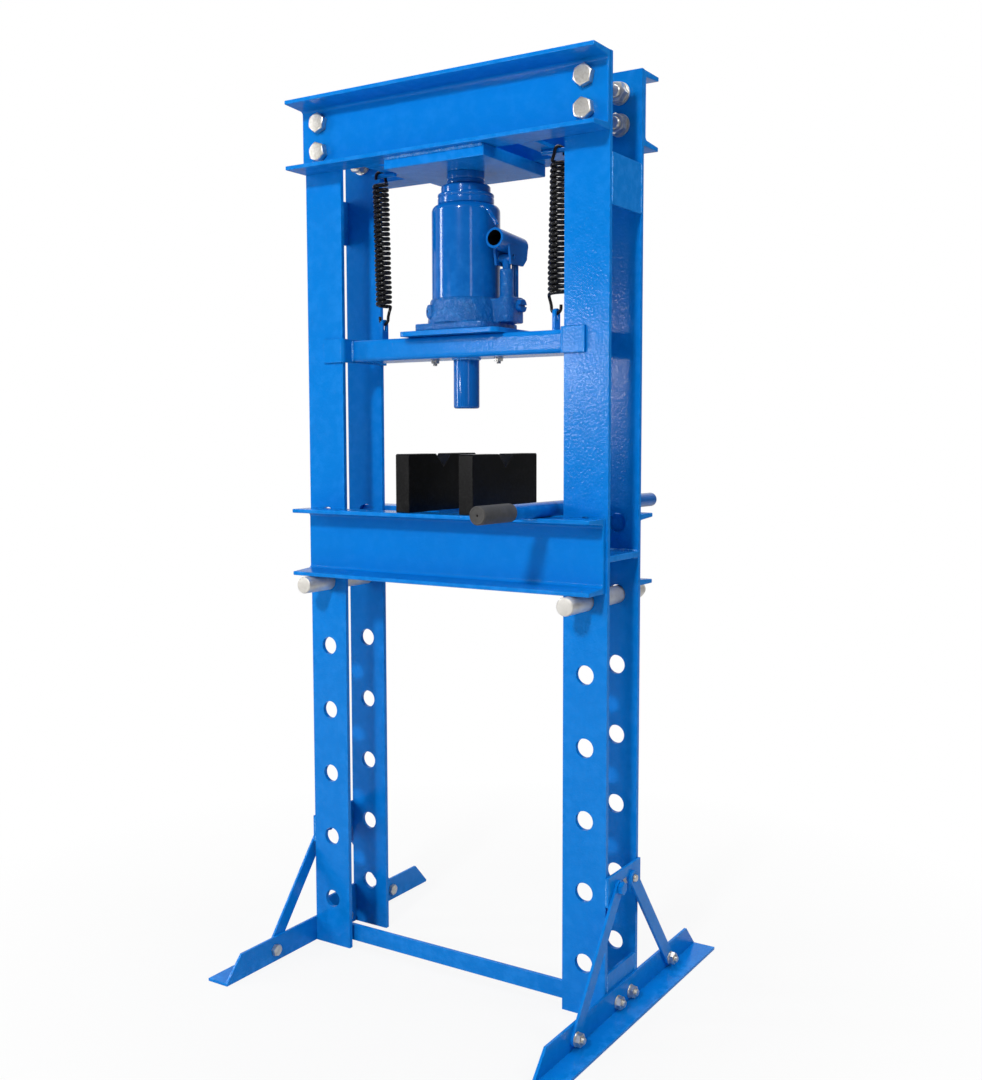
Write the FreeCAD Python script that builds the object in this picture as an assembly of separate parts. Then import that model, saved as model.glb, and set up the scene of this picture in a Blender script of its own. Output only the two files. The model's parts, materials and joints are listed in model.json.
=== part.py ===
import FreeCAD, Part
import math
import os

from FreeCAD import Vector

# H-frame workshop press: a bottle jack stands on a sliding crosshead and pushes up against the head.
# Millimetres.  X runs along the beams to the right, Y to the back, Z up; the floor is z = 0 and the
# origin is the middle of the footprint.

# ---------------------------------------------------------------- uprights
frame_height = 1540.0
upright_width = 80.0
upright_thickness = 8.0
upright_centre_x = 266.0
upright_gap = 104.0              # clear distance between a front and a rear upright
pin_hole_diameter = 32.0
pin_hole_pitch = 120.0
pin_hole_count = 7
first_pin_hole_z = 88.0
bed_hole_row = 5                 # the row, counted from 0, that holds the bed at rest

# ---------------------------------------------------------------- rolled channels
channel_height = 120.0
channel_flange_width = 55.0
channel_web = 7.0
channel_flange_tip = 7.0
channel_flange_root = 10.5
channel_root_radius = 6.0

# ---------------------------------------------------------------- head
beam_bolt_diameter = 20.0
beam_bolt_depths = (35.0, 85.0)  # below the top of the frame
beam_bolt_head_flats = 30.0
beam_bolt_head_height = 12.5
beam_nut_height = 16.0
beam_washer_diameter = 37.0
beam_washer_thickness = 3.0
beam_bolt_tip = 5.0              # shank past the nut
bolt_hole_clearance = 0.5        # on the radius
large_bolt_sides = 12            # the shanks and holes of repeated bolts are many-sided
small_bolt_sides = 8
bolster_side = 200.0
bolster_thickness = 20.0
socket_diameter = 65.0
socket_height = 20.0
socket_groove_depth = 3.0
socket_groove_height = 5.0
spacer_thickness = 6.0
upper_spacer_height = 80.0
upper_spacer_depth = 150.0       # its top edge, below the top of the frame
mid_spacer_thickness = 10.0
mid_spacer_z = 752.0

# ---------------------------------------------------------------- feet and braces
foot_length = 596.0
foot_leg = 45.0
foot_thickness = 5.0
foot_clip_length = 38.0          # slope at each end of the standing leg
foot_clip_height = 4.0
base_plate_height = 75.0
bracket_thickness = 5.0
bracket_bottom_z = 190.0
bracket_height = 50.0
bracket_notch_height = 32.0      # the notch in its lower edge, between the two braces
bracket_notch_top_width = 26.0
bracket_notch_foot_width = 52.0
brace_width = 25.0
brace_thickness = 5.0
brace_top_y = 27.0
brace_top_z = 215.0
brace_foot_y = 175.0
brace_foot_z = 22.0
base_bolt_y = 24.0
base_bolt_z = 19.0
foot_bolt_diameter = 12.0
foot_bolt_flats = 19.0
foot_bolt_head_height = 7.5
foot_nut_height = 10.0
foot_nut_flange_diameter = 23.0
foot_nut_flange_thickness = 2.5
foot_bolt_tip = 4.0
cross_brace_height = 30.0
cross_brace_thickness = 8.0
cross_brace_y = -40.0
cross_brace_bottom_z = 10.0

# ---------------------------------------------------------------- crosshead
crosshead_height = 38.0
crosshead_depth = 80.0
crosshead_wall = 4.0
crosshead_corner_radius = 8.0
guide_thickness = 5.0
guide_clearance = 1.0            # between a guide and an upright, on each face
guide_height = 42.0
guide_bend_radius = 2.0
guide_wrap = 41.0                # length of a guide's arm along the upright's face
lug_thickness = 6.0
lug_width = 18.0
lug_height = 38.0
lug_slot_width = 8.0
lug_slot_height = 16.0
lug_crown = 5.0                  # metal above the slot
ram_nose_diameter = 45.0
ram_nose_length = 86.0
ram_nose_chamfer = 2.0
seat_plate_length = 200.0
seat_plate_depth = 130.0
seat_plate_thickness = 8.0
seat_plate_corner_radius = 12.0
seat_stud_x = 66.0
seat_stud_diameter = 8.0
seat_stud_engagement = 9.0       # into the jack's base
seat_nut_flats = 13.0
seat_nut_height = 6.5
seat_stud_tip = 4.0              # past the nut

# ---------------------------------------------------------------- jack
jack_flange_length = 144.0
jack_flange_depth = 120.0
jack_flange_thickness = 12.0
jack_flange_corner_radius = 14.0
jack_base_bottom_diameter = 134.0
jack_base_top_diameter = 124.0
jack_base_height = 40.0
filler_boss_diameter = 24.0
filler_boss_reach = 70.0
filler_boss_angle = -125.0       # degrees about Z, from +X
reservoir_diameter = 118.0
reservoir_wall = 4.0
reservoir_height = 161.0
reservoir_shoulder = 12.0
shoulder_steps = 3               # facets of the rounded shoulder
pressure_tube_diameter = 66.0
pressure_tube_floor = 8.0        # base metal under the tube, above the flange
piston_diameter = 50.0
piston_clearance = 0.05          # on the radius
piston_floor_gap = 8.0           # between the piston and the bottom of the tube at rest
piston_chamfer = 2.0
collar_diameter = 97.0
collar_height = 19.0
jack_nut_diameter = 85.0
jack_nut_height = 14.0
jack_nut_chamfer = 2.5
spigot_length = 12.0
spigot_diameter = 80.0
head_gap = 2.0                   # between the jack's nut and the socket at rest

# ---------------------------------------------------------------- pump on the jack's right side
pump_x = 82.0
pump_body_radius = 14.0
pump_body_height = 43.0
barrel_diameter = 24.0
barrel_height = 46.0
plunger_diameter = 14.0
plunger_clearance = 0.05
plunger_head_wall = 3.0          # metal around the plunger's pin
plunger_engagement = 10.0        # below the top of the pump's body at rest
link_y = 27.0
link_diameter = 12.0
link_eye_diameter = 15.0
lever_gap = 0.5                  # between the lever and what it straddles
pump_pin_diameter = 8.0
pump_pin_clearance = 0.05
pump_pin_rise = 18.0             # the pins' height above the barrel at rest
socket_tube_diameter = 34.0
socket_tube_bore = 26.0
socket_tube_length = 82.0
socket_tube_front_y = -39.0
socket_tube_rise = 29.0          # its front end's axis, above the pins
socket_tube_slope = 5.0          # degrees, front end high
socket_bore_depth = 66.0
cheek_thickness = 4.0
cheek_reach = 12.0               # cheek metal around each pin
cheek_front_y = -18.0            # where the cheeks meet the tube in front
cheek_top_share = 0.25           # their top, below the tube's axis, as a share of its diameter
plunger_slot_length = 4.0        # extra length of the plunger pin's slot
plunger_slot_play = 0.2          # above and below the pin, as the slot swings
valve_y = 16.0
valve_rise = 28.0                # its axis, above the jack's flange
valve_stem_diameter = 10.0
valve_stem_length = 12.0
valve_knob_diameter = 22.0
valve_knob_length = 9.0
valve_slot_width = 3.0
valve_slot_depth = 3.5
valve_clearance = 0.05
valve_knob_gap = 0.5

# ---------------------------------------------------------------- return springs
spring_x = 178.0
spring_wire = 5.6
spring_mean_diameter = 23.4
spring_turns = 25
spring_hook_height = 28.4        # from the top of the lug's slot to the first turn
spring_loop_height = 16.2        # from the hanger pin's axis down to the last turn
spring_hook_radius = 9.0
spring_loop_angle = 60.0         # degrees from +X to the plane of the upper loop
spring_seat_gap = 0.05           # between the wire and what it hooks on
spring_wire_sides = 4
hanger_pin_diameter = 8.0
hanger_pin_length = 50.0
hanger_pin_inner_x = 150.0
hanger_strap_width = 30.0
hanger_strap_thickness = 6.0
hanger_strap_outer_x = 172.0
hanger_weld_width = 2.0

# ---------------------------------------------------------------- bed
bed_length = 604.0
bed_clearance = 0.5              # between a bed channel and an upright
bed_rest_gap = 0.15              # between the bed and its pins
bed_tie_x = 199.0
bed_tie_thickness = 8.0
bed_tie_height = 70.0
bed_pin_diameter = 30.0
bed_pin_front_y = -129.0
bed_pin_back_y = 143.0
bed_pin_taper_length = 14.0
bed_pin_tip_diameter = 22.0
bed_pin_seat_gap = 0.05          # between a pin and the bottom of its hole
v_block_thickness = 28.5
v_block_length = 208.0
v_block_height = 100.0
v_notch_width = 46.0
v_block_bevel = 2.0
v_block_centres_x = (-63.0, 66.5)
handle_diameter = 25.0
handle_grip_diameter = 29.0
handle_grip_length = 88.0
handle_front = (195.0, -268.0)
handle_back = (215.0, 296.0)
handle_chamfer = 4.0
grip_chamfer = 2.0

# ---------------------------------------------------------------- what follows from these
upright_inner_y = upright_gap / 2
upright_outer_y = upright_inner_y + upright_thickness
upright_inner_x = upright_centre_x - upright_width / 2
upright_outer_x = upright_centre_x + upright_width / 2
beam_bottom_z = frame_height - channel_height
beam_bolt_heights = [frame_height - depth for depth in beam_bolt_depths]
pin_hole_heights = [first_pin_hole_z + row * pin_hole_pitch for row in range(pin_hole_count)]
bolster_bottom_z = beam_bottom_z - bolster_thickness
socket_bottom_z = bolster_bottom_z - socket_height
bracket_outer_x = upright_outer_x + bracket_thickness
foot_outer_x = upright_outer_x + foot_thickness
brace_inner_x = max(bracket_outer_x, foot_outer_x)

upper_spacer_top_z = frame_height - upper_spacer_depth
jack_nut_top_z = socket_bottom_z - head_gap
collar_top_z = jack_nut_top_z - jack_nut_height
reservoir_top_z = collar_top_z - collar_height
jack_base_top_z = reservoir_top_z - reservoir_height
jack_flange_top_z = jack_base_top_z - jack_base_height
seat_plate_top_z = jack_flange_top_z - jack_flange_thickness
crosshead_top_z = seat_plate_top_z - seat_plate_thickness
crosshead_bottom_z = crosshead_top_z - crosshead_height
guide_outer_x = upright_inner_x - guide_clearance
crosshead_half_length = guide_outer_x - guide_thickness
guide_inner_y = upright_outer_y + guide_clearance
pressure_tube_bottom_z = jack_flange_top_z + pressure_tube_floor
pressure_tube_top_z = reservoir_top_z - spigot_length
piston_bottom_z = pressure_tube_bottom_z + piston_floor_gap
cylinder_bore_radius = piston_diameter / 2 + piston_clearance

pump_body_top_z = jack_flange_top_z + pump_body_height
barrel_top_z = pump_body_top_z + barrel_height
barrel_bore_radius = plunger_diameter / 2 + plunger_clearance
pump_pin_z = barrel_top_z + pump_pin_rise
socket_tube_front_z = pump_pin_z + socket_tube_rise
valve_z = jack_flange_top_z + valve_rise
cheek_inner = barrel_diameter / 2 + lever_gap
cheek_outer = cheek_inner + cheek_thickness

lug_top_z = crosshead_top_z + lug_height
lug_slot_top_z = lug_top_z - lug_crown
wire_area = math.pi * (spring_wire / 2) ** 2
# Centre to corner of a faceted wire whose section has the area of the round one.
wire_reach = math.sqrt(wire_area / (spring_wire_sides / 2 * math.sin(2 * math.pi / spring_wire_sides)))
hanger_strap_bottom_z = beam_bottom_z
hanger_pin_z = hanger_strap_bottom_z - hanger_pin_diameter / 2
spring_coil_bottom_z = lug_slot_top_z + spring_hook_height
spring_coil_top_z = hanger_pin_z - spring_loop_height

bed_hole_z = pin_hole_heights[bed_hole_row]
bed_pin_z = bed_hole_z - (pin_hole_diameter - bed_pin_diameter) / 2 + bed_pin_seat_gap
bed_bottom_z = bed_pin_z + bed_pin_diameter / 2 + bed_rest_gap
bed_top_z = bed_bottom_z + channel_height
bed_web_y = upright_outer_y + bed_clearance

SIDES = (("left", -1), ("right", 1))
FRONT_AND_REAR = (("front", -1), ("rear", 1))

Z_AXIS = Vector(0, 0, 1)
Y_AXIS = Vector(0, 1, 0)
X_AXIS = Vector(1, 0, 0)


# ================================================================ building blocks
def save(shape, node):
    shape.exportStep("parts/" + node + ".step")


def block(x_range, y_range, z_range):
    """A box between two x, two y and two z values, given in either order."""
    low = Vector(min(x_range), min(y_range), min(z_range))
    high = Vector(max(x_range), max(y_range), max(z_range))
    size = high - low
    return Part.makeBox(size.x, size.y, size.z, low)


def round_bar(diameter, start, end):
    run = end - start
    return Part.makeCylinder(diameter / 2, run.Length, start, run)


def polygon_bar(diameter, sides, start, end, turned=0.0):
    """A prism whose section is a regular polygon with its corners on the diameter."""
    run = end - start
    across = Z_AXIS if abs(run.z) < 0.9 * run.Length else X_AXIS
    first = (across - run * (across.dot(run) / run.dot(run))).normalize()
    second = run.cross(first).normalize()
    corners = []
    for k in range(sides):
        angle = turned + 2 * math.pi * k / sides
        offset = first * math.cos(angle) + second * math.sin(angle)
        corners.append(start + offset * (diameter / 2))
    face = Part.Face(Part.makePolygon(corners + corners[:1]))
    return face.extrude(run)


def flats_bar(flats, sides, start, end):
    """A prism with the given distance across its flats, one flat uppermost."""
    return polygon_bar(flats / math.cos(math.pi / sides), sides, start, end, math.pi / sides)


def prism(points, run):
    face = Part.Face(Part.makePolygon(list(points) + [points[0]]))
    return face.extrude(run)


def turned_part(profile, centre=Vector(0, 0, 0)):
    """A solid of revolution about the Z line through centre, from (radius, z) corners."""
    corners = [centre + Vector(radius, 0, z) for radius, z in profile]
    face = Part.Face(Part.makePolygon(corners + corners[:1]))
    return face.revolve(centre, Z_AXIS, 360)


def vertical_edges(shape, length):
    """Edges parallel to Z that are as long as the given length."""
    found = []
    for edge in shape.Edges:
        box = edge.BoundBox
        if abs(box.ZLength - length) < 1e-3 and box.XLength < 1e-3 and box.YLength < 1e-3:
            found.append(edge)
    return found


def rounded_plate(length, depth, z_range, radius):
    plate = block((-length / 2, length / 2), (-depth / 2, depth / 2), z_range)
    height = max(z_range) - min(z_range)
    return plate.makeFillet(radius, vertical_edges(plate, height))


def channel(length, web_y, bottom_z, outward):
    """A rolled channel lying along X, its web's back at web_y and its flanges pointing outward."""
    top_z = bottom_z + channel_height
    tip_y = web_y + outward * channel_flange_width
    web_face_y = web_y + outward * channel_web
    outline = [
        Vector(-length / 2, web_y, bottom_z),
        Vector(-length / 2, tip_y, bottom_z),
        Vector(-length / 2, tip_y, bottom_z + channel_flange_tip),
        Vector(-length / 2, web_face_y, bottom_z + channel_flange_root),
        Vector(-length / 2, web_face_y, top_z - channel_flange_root),
        Vector(-length / 2, tip_y, top_z - channel_flange_tip),
        Vector(-length / 2, tip_y, top_z),
        Vector(-length / 2, web_y, top_z),
    ]
    bar = prism(outline, X_AXIS * length)
    root_edges = []
    for edge in bar.Edges:
        box = edge.BoundBox
        if box.XLength > length / 2 and abs(box.YMin - web_face_y) < 1e-3:
            root_edges.append(edge)
    return bar.makeFillet(channel_root_radius, root_edges)


# ================================================================ wound wire
def arc_edge(start, tangent, end):
    """The circular arc that leaves start along tangent and ends at end."""
    chord = end - start
    along = chord * (1 / chord.Length)
    turn = tangent.getAngle(along)
    side = (tangent - along * tangent.dot(along)).normalize()
    middle = (start + end) * 0.5 + side * (chord.Length / 2 * math.tan(turn / 2))
    return Part.Arc(start, middle, end).toShape()


def biarc(start, start_tangent, end, end_tangent):
    """Two arcs that meet smoothly and join start to end with the given directions."""
    gap = start - end
    a = 2 * (start_tangent.dot(end_tangent) - 1)
    b = 2 * gap.dot(start_tangent + end_tangent)
    c = gap.dot(gap)
    if abs(a) < 1e-9:
        reach = -c / b
    else:
        reach = (-b - math.sqrt(b * b - 4 * a * c)) / (2 * a)
    joint = (start + end + (start_tangent - end_tangent) * reach) * 0.5
    backward = arc_edge(end, end_tangent * -1, joint)
    middle = backward.valueAt((backward.FirstParameter + backward.LastParameter) / 2)
    return [arc_edge(start, start_tangent, joint), Part.Arc(joint, middle, end).toShape()]


def half_circle(centre, from_arm, through_arm):
    """Two quarter arcs about centre, from one arm through the second to the first's opposite."""
    slant = (from_arm + through_arm) * math.sqrt(0.5)
    back_slant = (through_arm - from_arm) * math.sqrt(0.5)
    first = Part.Arc(centre + from_arm, centre + slant, centre + through_arm)
    second = Part.Arc(centre + through_arm, centre + back_slant, centre - from_arm)
    return [first.toShape(), second.toShape()]


def spring_path(side):
    """Lower hook through the lug's slot, the coil, and the upper loop over the hanger's pin.

    The right spring is the left one turned half round, so that both hooks open outward.
    """
    centre_x = side * spring_x
    mean_radius = spring_mean_diameter / 2
    eighth = math.pi / 4
    facing = 0.0 if side < 0 else math.pi
    loop_angle = facing + math.radians(spring_loop_angle)
    first_angle = facing + eighth
    coil_angle = 2 * math.pi * spring_turns + loop_angle - eighth - first_angle
    halves = 2 * spring_turns
    rise = (spring_coil_top_z - spring_coil_bottom_z) / coil_angle

    def coil_point(half):
        turned = coil_angle * half / halves
        angle = first_angle + turned
        x = centre_x + mean_radius * math.cos(angle)
        y = mean_radius * math.sin(angle)
        return Vector(x, y, spring_coil_bottom_z + rise * turned)

    def coil_direction(half):
        angle = first_angle + coil_angle * half / halves
        return Vector(-mean_radius * math.sin(angle), mean_radius * math.cos(angle), rise).normalize()

    inner_bend = spring_hook_radius - wire_reach
    sag = inner_bend - math.sqrt(inner_bend ** 2 - (lug_thickness / 2) ** 2)
    hook_wire_z = lug_slot_top_z - wire_reach - sag - spring_seat_gap
    hook_centre = Vector(centre_x, 0, hook_wire_z + spring_hook_radius)
    loop_wire_z = hanger_pin_z + hanger_pin_diameter / 2 + wire_reach + spring_seat_gap
    loop_centre = Vector(centre_x, 0, loop_wire_z - spring_hook_radius)
    hook_arm = Vector(math.cos(facing), math.sin(facing), 0) * spring_hook_radius
    loop_arm = Vector(math.cos(loop_angle), math.sin(loop_angle), 0) * spring_hook_radius
    tip = Z_AXIS * spring_wire

    edges = [Part.LineSegment(hook_centre - hook_arm + tip, hook_centre - hook_arm).toShape()]
    edges += half_circle(hook_centre, hook_arm * -1, Z_AXIS * -spring_hook_radius)
    edges += biarc(hook_centre + hook_arm, Z_AXIS, coil_point(0), coil_direction(0))
    for half in range(halves):
        start, end = half, half + 1
        edges += biarc(coil_point(start), coil_direction(start), coil_point(end), coil_direction(end))
    edges += biarc(coil_point(halves), coil_direction(halves), loop_centre + loop_arm, Z_AXIS)
    edges += half_circle(loop_centre, loop_arm, Z_AXIS * spring_hook_radius)
    edges.append(Part.LineSegment(loop_centre - loop_arm, loop_centre - loop_arm - tip).toShape())
    return edges


def wire_tube(edges):
    """One unbroken tube of faceted wire along the edges, with the section area of round wire."""
    path = Part.Wire(edges)
    start = edges[0].valueAt(edges[0].FirstParameter)
    direction = edges[0].tangentAt(edges[0].FirstParameter)
    second = direction.cross(X_AXIS).normalize()
    corners = []
    for k in range(spring_wire_sides):
        angle = 2 * math.pi * (k + 0.5) / spring_wire_sides
        corners.append(start + (X_AXIS * math.cos(angle) + second * math.sin(angle)) * wire_reach)
    section = Part.makePolygon(corners + corners[:1])
    return path.makePipeShell([section], True, False)


def least_self_gap(edges):
    """The least clear distance between stretches of wire that are not neighbours along it."""
    step = spring_wire / 2
    points = []
    travelled = []
    length = 0.0
    for edge in edges:
        count = max(2, int(edge.Length / step))
        for k in range(count):
            share = k / count
            parameter = edge.FirstParameter + share * (edge.LastParameter - edge.FirstParameter)
            points.append(edge.valueAt(parameter))
            travelled.append(length + share * edge.Length)
        length += edge.Length
    least = length
    for i, point in enumerate(points):
        for j in range(i + 1, len(points)):
            if travelled[j] - travelled[i] > 4 * spring_wire:
                least = min(least, point.distanceToPoint(points[j]) - spring_wire)
    return least


def return_springs():
    for name, side in SIDES:
        edges = spring_path(side)
        spring = wire_tube(edges)
        length = sum(edge.Length for edge in edges)
        expected = length * wire_area
        print("return_spring_" + name, "wire length", round(length, 1),
              "least self-gap", round(least_self_gap(edges), 2),
              "volume / (section x length)", round(spring.Volume / expected, 3))
        save(spring, "return_spring_" + name)


# ================================================================ frame
def uprights():
    hole_radius = beam_bolt_diameter / 2 + bolt_hole_clearance
    for row, back in FRONT_AND_REAR:
        for name, side in SIDES:
            centre_x = side * upright_centre_x
            half = upright_width / 2
            faces_y = (back * upright_inner_y, back * upright_outer_y)
            bar = block((centre_x - half, centre_x + half), faces_y, (0, frame_height))
            before_y = min(faces_y) - 1
            beyond = Y_AXIS * (upright_thickness + 2)
            cuts = []
            for height in pin_hole_heights:
                start = Vector(centre_x, before_y, height)
                cuts.append(round_bar(pin_hole_diameter, start, start + beyond))
            for height in beam_bolt_heights:
                start = Vector(centre_x, before_y, height)
                cuts.append(polygon_bar(2 * hole_radius, large_bolt_sides, start, start + beyond))
            save(bar.cut(cuts), "upright_" + row + "_" + name)


def top_beams():
    hole_diameter = beam_bolt_diameter + 2 * bolt_hole_clearance
    for row, back in FRONT_AND_REAR:
        beam = channel(2 * upright_outer_x, back * upright_outer_y, beam_bottom_z, back)
        cuts = []
        for _, side in SIDES:
            for height in beam_bolt_heights:
                start = Vector(side * upright_centre_x, back * (upright_outer_y - 1), height)
                end = start + Y_AXIS * back * (channel_web + 2)
                cuts.append(polygon_bar(hole_diameter, large_bolt_sides, start, end))
        save(beam.cut(cuts), "top_beam_" + row)


def beam_fasteners():
    """Bolts through beam and upright, with the head outside and washer and nut inside."""
    bolts, nuts, washers = [], [], []
    head_y = upright_outer_y + channel_web
    washer_y = upright_inner_y - beam_washer_thickness
    nut_y = washer_y - beam_nut_height
    for _, back in FRONT_AND_REAR:
        for _, side in SIDES:
            for height in beam_bolt_heights:
                def at(y):
                    return Vector(side * upright_centre_x, back * y, height)

                tip = at(nut_y - beam_bolt_tip)
                shank = polygon_bar(beam_bolt_diameter, large_bolt_sides, tip, at(head_y))
                head = flats_bar(beam_bolt_head_flats, 6, at(head_y), at(head_y + beam_bolt_head_height))
                bolts.append(shank.fuse(head).removeSplitter())
                nut = flats_bar(beam_bolt_head_flats, 6, at(nut_y), at(washer_y))
                nuts.append(nut.cut(shank))
                washer = polygon_bar(
                    beam_washer_diameter, large_bolt_sides, at(washer_y), at(upright_inner_y)
                )
                washers.append(washer.cut(shank))
    save(Part.makeCompound(bolts), "beam_bolts")
    save(Part.makeCompound(nuts), "beam_nuts")
    save(Part.makeCompound(washers), "beam_washers")


def spacers():
    """Plates welded between each front upright and the rear one behind it."""
    between = (-upright_inner_y, upright_inner_y)
    for name, side in SIDES:
        edge_x = (side * upright_outer_x, side * (upright_outer_x - spacer_thickness))
        upper_z = (upper_spacer_top_z - upper_spacer_height, upper_spacer_top_z)
        save(block(edge_x, between, upper_z), "upper_spacer_" + name)
        full_x = (side * upright_inner_x, side * upright_outer_x)
        mid_z = (mid_spacer_z, mid_spacer_z + mid_spacer_thickness)
        save(block(full_x, between, mid_z), "mid_spacer_" + name)
        plate = block(edge_x, between, (0, base_plate_height))
        save(plate.cut(side_holes(side, base_bolt_places())), "base_plate_" + name)


def head_pieces():
    half = bolster_side / 2
    bolster = block((-half, half), (-half, half), (bolster_bottom_z, beam_bottom_z))
    save(bolster, "bolster_plate")
    outer = socket_diameter / 2
    inner = piston_diameter / 2
    waist = outer - socket_groove_depth
    groove_bottom = socket_bottom_z + (socket_height - socket_groove_height) / 2
    groove_top = groove_bottom + socket_groove_height
    socket = turned_part([
        (inner, socket_bottom_z), (outer, socket_bottom_z), (outer, groove_bottom), (waist, groove_bottom),
        (waist, groove_top), (outer, groove_top), (outer, bolster_bottom_z), (inner, bolster_bottom_z),
    ])
    save(socket, "ram_socket")


def spring_hangers():
    half_gap = upright_outer_y
    for name, side in SIDES:
        inner_x = hanger_strap_outer_x - hanger_strap_width
        strap_z = (hanger_strap_bottom_z, hanger_strap_bottom_z + hanger_strap_thickness)
        strap = block((side * inner_x, side * hanger_strap_outer_x), (-half_gap, half_gap), strap_z)
        start = Vector(side * hanger_pin_inner_x, 0, hanger_pin_z)
        pin = round_bar(hanger_pin_diameter, start, start + X_AXIS * side * hanger_pin_length)
        weld_x = (side * hanger_pin_inner_x, side * hanger_strap_outer_x)
        weld_y = (-hanger_weld_width / 2, hanger_weld_width / 2)
        weld = block(weld_x, weld_y, (hanger_pin_z, strap_z[0]))
        save(strap.fuse([pin, weld]).removeSplitter(), "spring_hanger_" + name)


# ================================================================ feet
def base_bolt_places():
    return [(y, base_bolt_z) for y in (-base_bolt_y, base_bolt_y)]


def brace_foot_places():
    return [(y, brace_foot_z) for y in (-brace_foot_y, brace_foot_y)]


def brace_top_places():
    return [(y, brace_top_z) for y in (-brace_top_y, brace_top_y)]


def side_holes(side, places):
    """Bolt holes along X near the outer edges of the uprights of one side."""
    diameter = foot_bolt_diameter + 2 * bolt_hole_clearance
    start_x = side * (upright_outer_x - spacer_thickness - 1)
    end_x = side * (brace_inner_x + brace_thickness + 1)
    holes = []
    for y, z in places:
        start, end = Vector(start_x, y, z), Vector(end_x, y, z)
        holes.append(polygon_bar(diameter, small_bolt_sides, start, end))
    return holes


def feet():
    half = foot_length / 2
    for name, side in SIDES:
        inner_x = side * upright_outer_x
        outline = [
            Vector(inner_x, -half, 0),
            Vector(inner_x, half, 0),
            Vector(inner_x, half, foot_clip_height),
            Vector(inner_x, half - foot_clip_length, foot_leg),
            Vector(inner_x, foot_clip_length - half, foot_leg),
            Vector(inner_x, -half, foot_clip_height),
        ]
        standing = prism(outline, X_AXIS * side * foot_thickness)
        floor_x = (inner_x, side * (upright_outer_x + foot_leg))
        lying = block(floor_x, (-half, half), (0, foot_thickness))
        foot = standing.fuse(lying).removeSplitter()
        places = base_bolt_places() + brace_foot_places()
        save(foot.cut(side_holes(side, places)), "foot_" + name)


def bracket_notch(side):
    half_foot = bracket_notch_foot_width / 2
    half_top = bracket_notch_top_width / 2
    top_z = bracket_bottom_z + bracket_notch_height
    rear = ((half_top, top_z), (half_foot, bracket_bottom_z))
    outline = [(-half_foot, bracket_bottom_z), (-half_top, top_z)] + list(rear)
    points = [Vector(side * upright_outer_x, y, z) for y, z in outline]
    return prism(points, X_AXIS * side * bracket_thickness)


def brackets_and_braces():
    end_radius = brace_width / 2
    for name, side in SIDES:
        bracket_x = (side * upright_outer_x, side * bracket_outer_x)
        bracket_z = (bracket_bottom_z, bracket_bottom_z + bracket_height)
        bracket = block(bracket_x, (-upright_outer_y, upright_outer_y), bracket_z)
        bracket = bracket.cut(bracket_notch(side))
        save(bracket.cut(side_holes(side, brace_top_places())), "brace_bracket_" + name)
        for row, back in FRONT_AND_REAR:
            low = Vector(side * brace_inner_x, back * brace_foot_y, brace_foot_z)
            high = Vector(side * brace_inner_x, back * brace_top_y, brace_top_z)
            along = (high - low).normalize()
            across = along.cross(X_AXIS)
            through = X_AXIS * side * brace_thickness
            shift = across * end_radius
            bar = prism([low + shift, high + shift, high - shift, low - shift], through)
            rounds = [round_bar(brace_width, end, end + through) for end in (low, high)]
            brace = bar.fuse(rounds).removeSplitter()
            places = [(low.y, low.z), (high.y, high.z)]
            save(brace.cut(side_holes(side, places)), "brace_" + row + "_" + name)


def cross_brace():
    reach = upright_outer_x - spacer_thickness
    half = cross_brace_thickness / 2
    z_range = (cross_brace_bottom_z, cross_brace_bottom_z + cross_brace_height)
    save(block((-reach, reach), (cross_brace_y - half, cross_brace_y + half), z_range), "cross_brace")


def foot_bolt(side, place, head_face, nut_face, tip):
    """A bolt along X from its head's face to past the far face, and the hexagon of its head."""
    y, z = place
    direction = 1 if nut_face > head_face else -1
    head = flats_bar(
        foot_bolt_flats, 6,
        Vector(side * (head_face - direction * foot_bolt_head_height), y, z),
        Vector(side * head_face, y, z),
    )
    shank_end = nut_face + direction * tip
    shank = polygon_bar(
        foot_bolt_diameter, small_bolt_sides, Vector(side * head_face, y, z), Vector(side * shank_end, y, z)
    )
    return head.fuse(shank).removeSplitter()


def foot_nut(side, place, face, direction):
    """A flanged nut that bears on a face and points away from it."""
    y, z = place

    def at(distance):
        return Vector(side * (face + direction * distance), y, z)

    flange = polygon_bar(foot_nut_flange_diameter, large_bolt_sides, at(0), at(foot_nut_flange_thickness))
    body = flats_bar(foot_bolt_flats, 6, at(foot_nut_flange_thickness), at(foot_nut_height))
    hole = polygon_bar(foot_bolt_diameter, small_bolt_sides, at(-1), at(foot_nut_height + 1))
    return flange.fuse(body).cut(hole)


def foot_fasteners():
    bolts, nuts = [], []
    plate_face = upright_outer_x - spacer_thickness
    brace_face = brace_inner_x + brace_thickness
    long_tip = foot_nut_height + foot_bolt_tip
    for _, side in SIDES:
        for place in base_bolt_places():
            bolts.append(foot_bolt(side, place, plate_face, foot_outer_x, long_tip))
            nuts.append(foot_nut(side, place, foot_outer_x, 1))
        for place in brace_foot_places():
            bolts.append(foot_bolt(side, place, upright_outer_x, brace_face, long_tip))
            nuts.append(foot_nut(side, place, brace_face, 1))
        front_top, rear_top = brace_top_places()
        bolts.append(foot_bolt(side, front_top, brace_face, upright_outer_x, long_tip))
        nuts.append(foot_nut(side, front_top, upright_outer_x, -1))
        bolts.append(foot_bolt(side, rear_top, upright_outer_x, brace_face, foot_bolt_tip))
    save(Part.makeCompound(bolts), "foot_bolts")
    save(Part.makeCompound(nuts), "foot_nuts")


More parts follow.
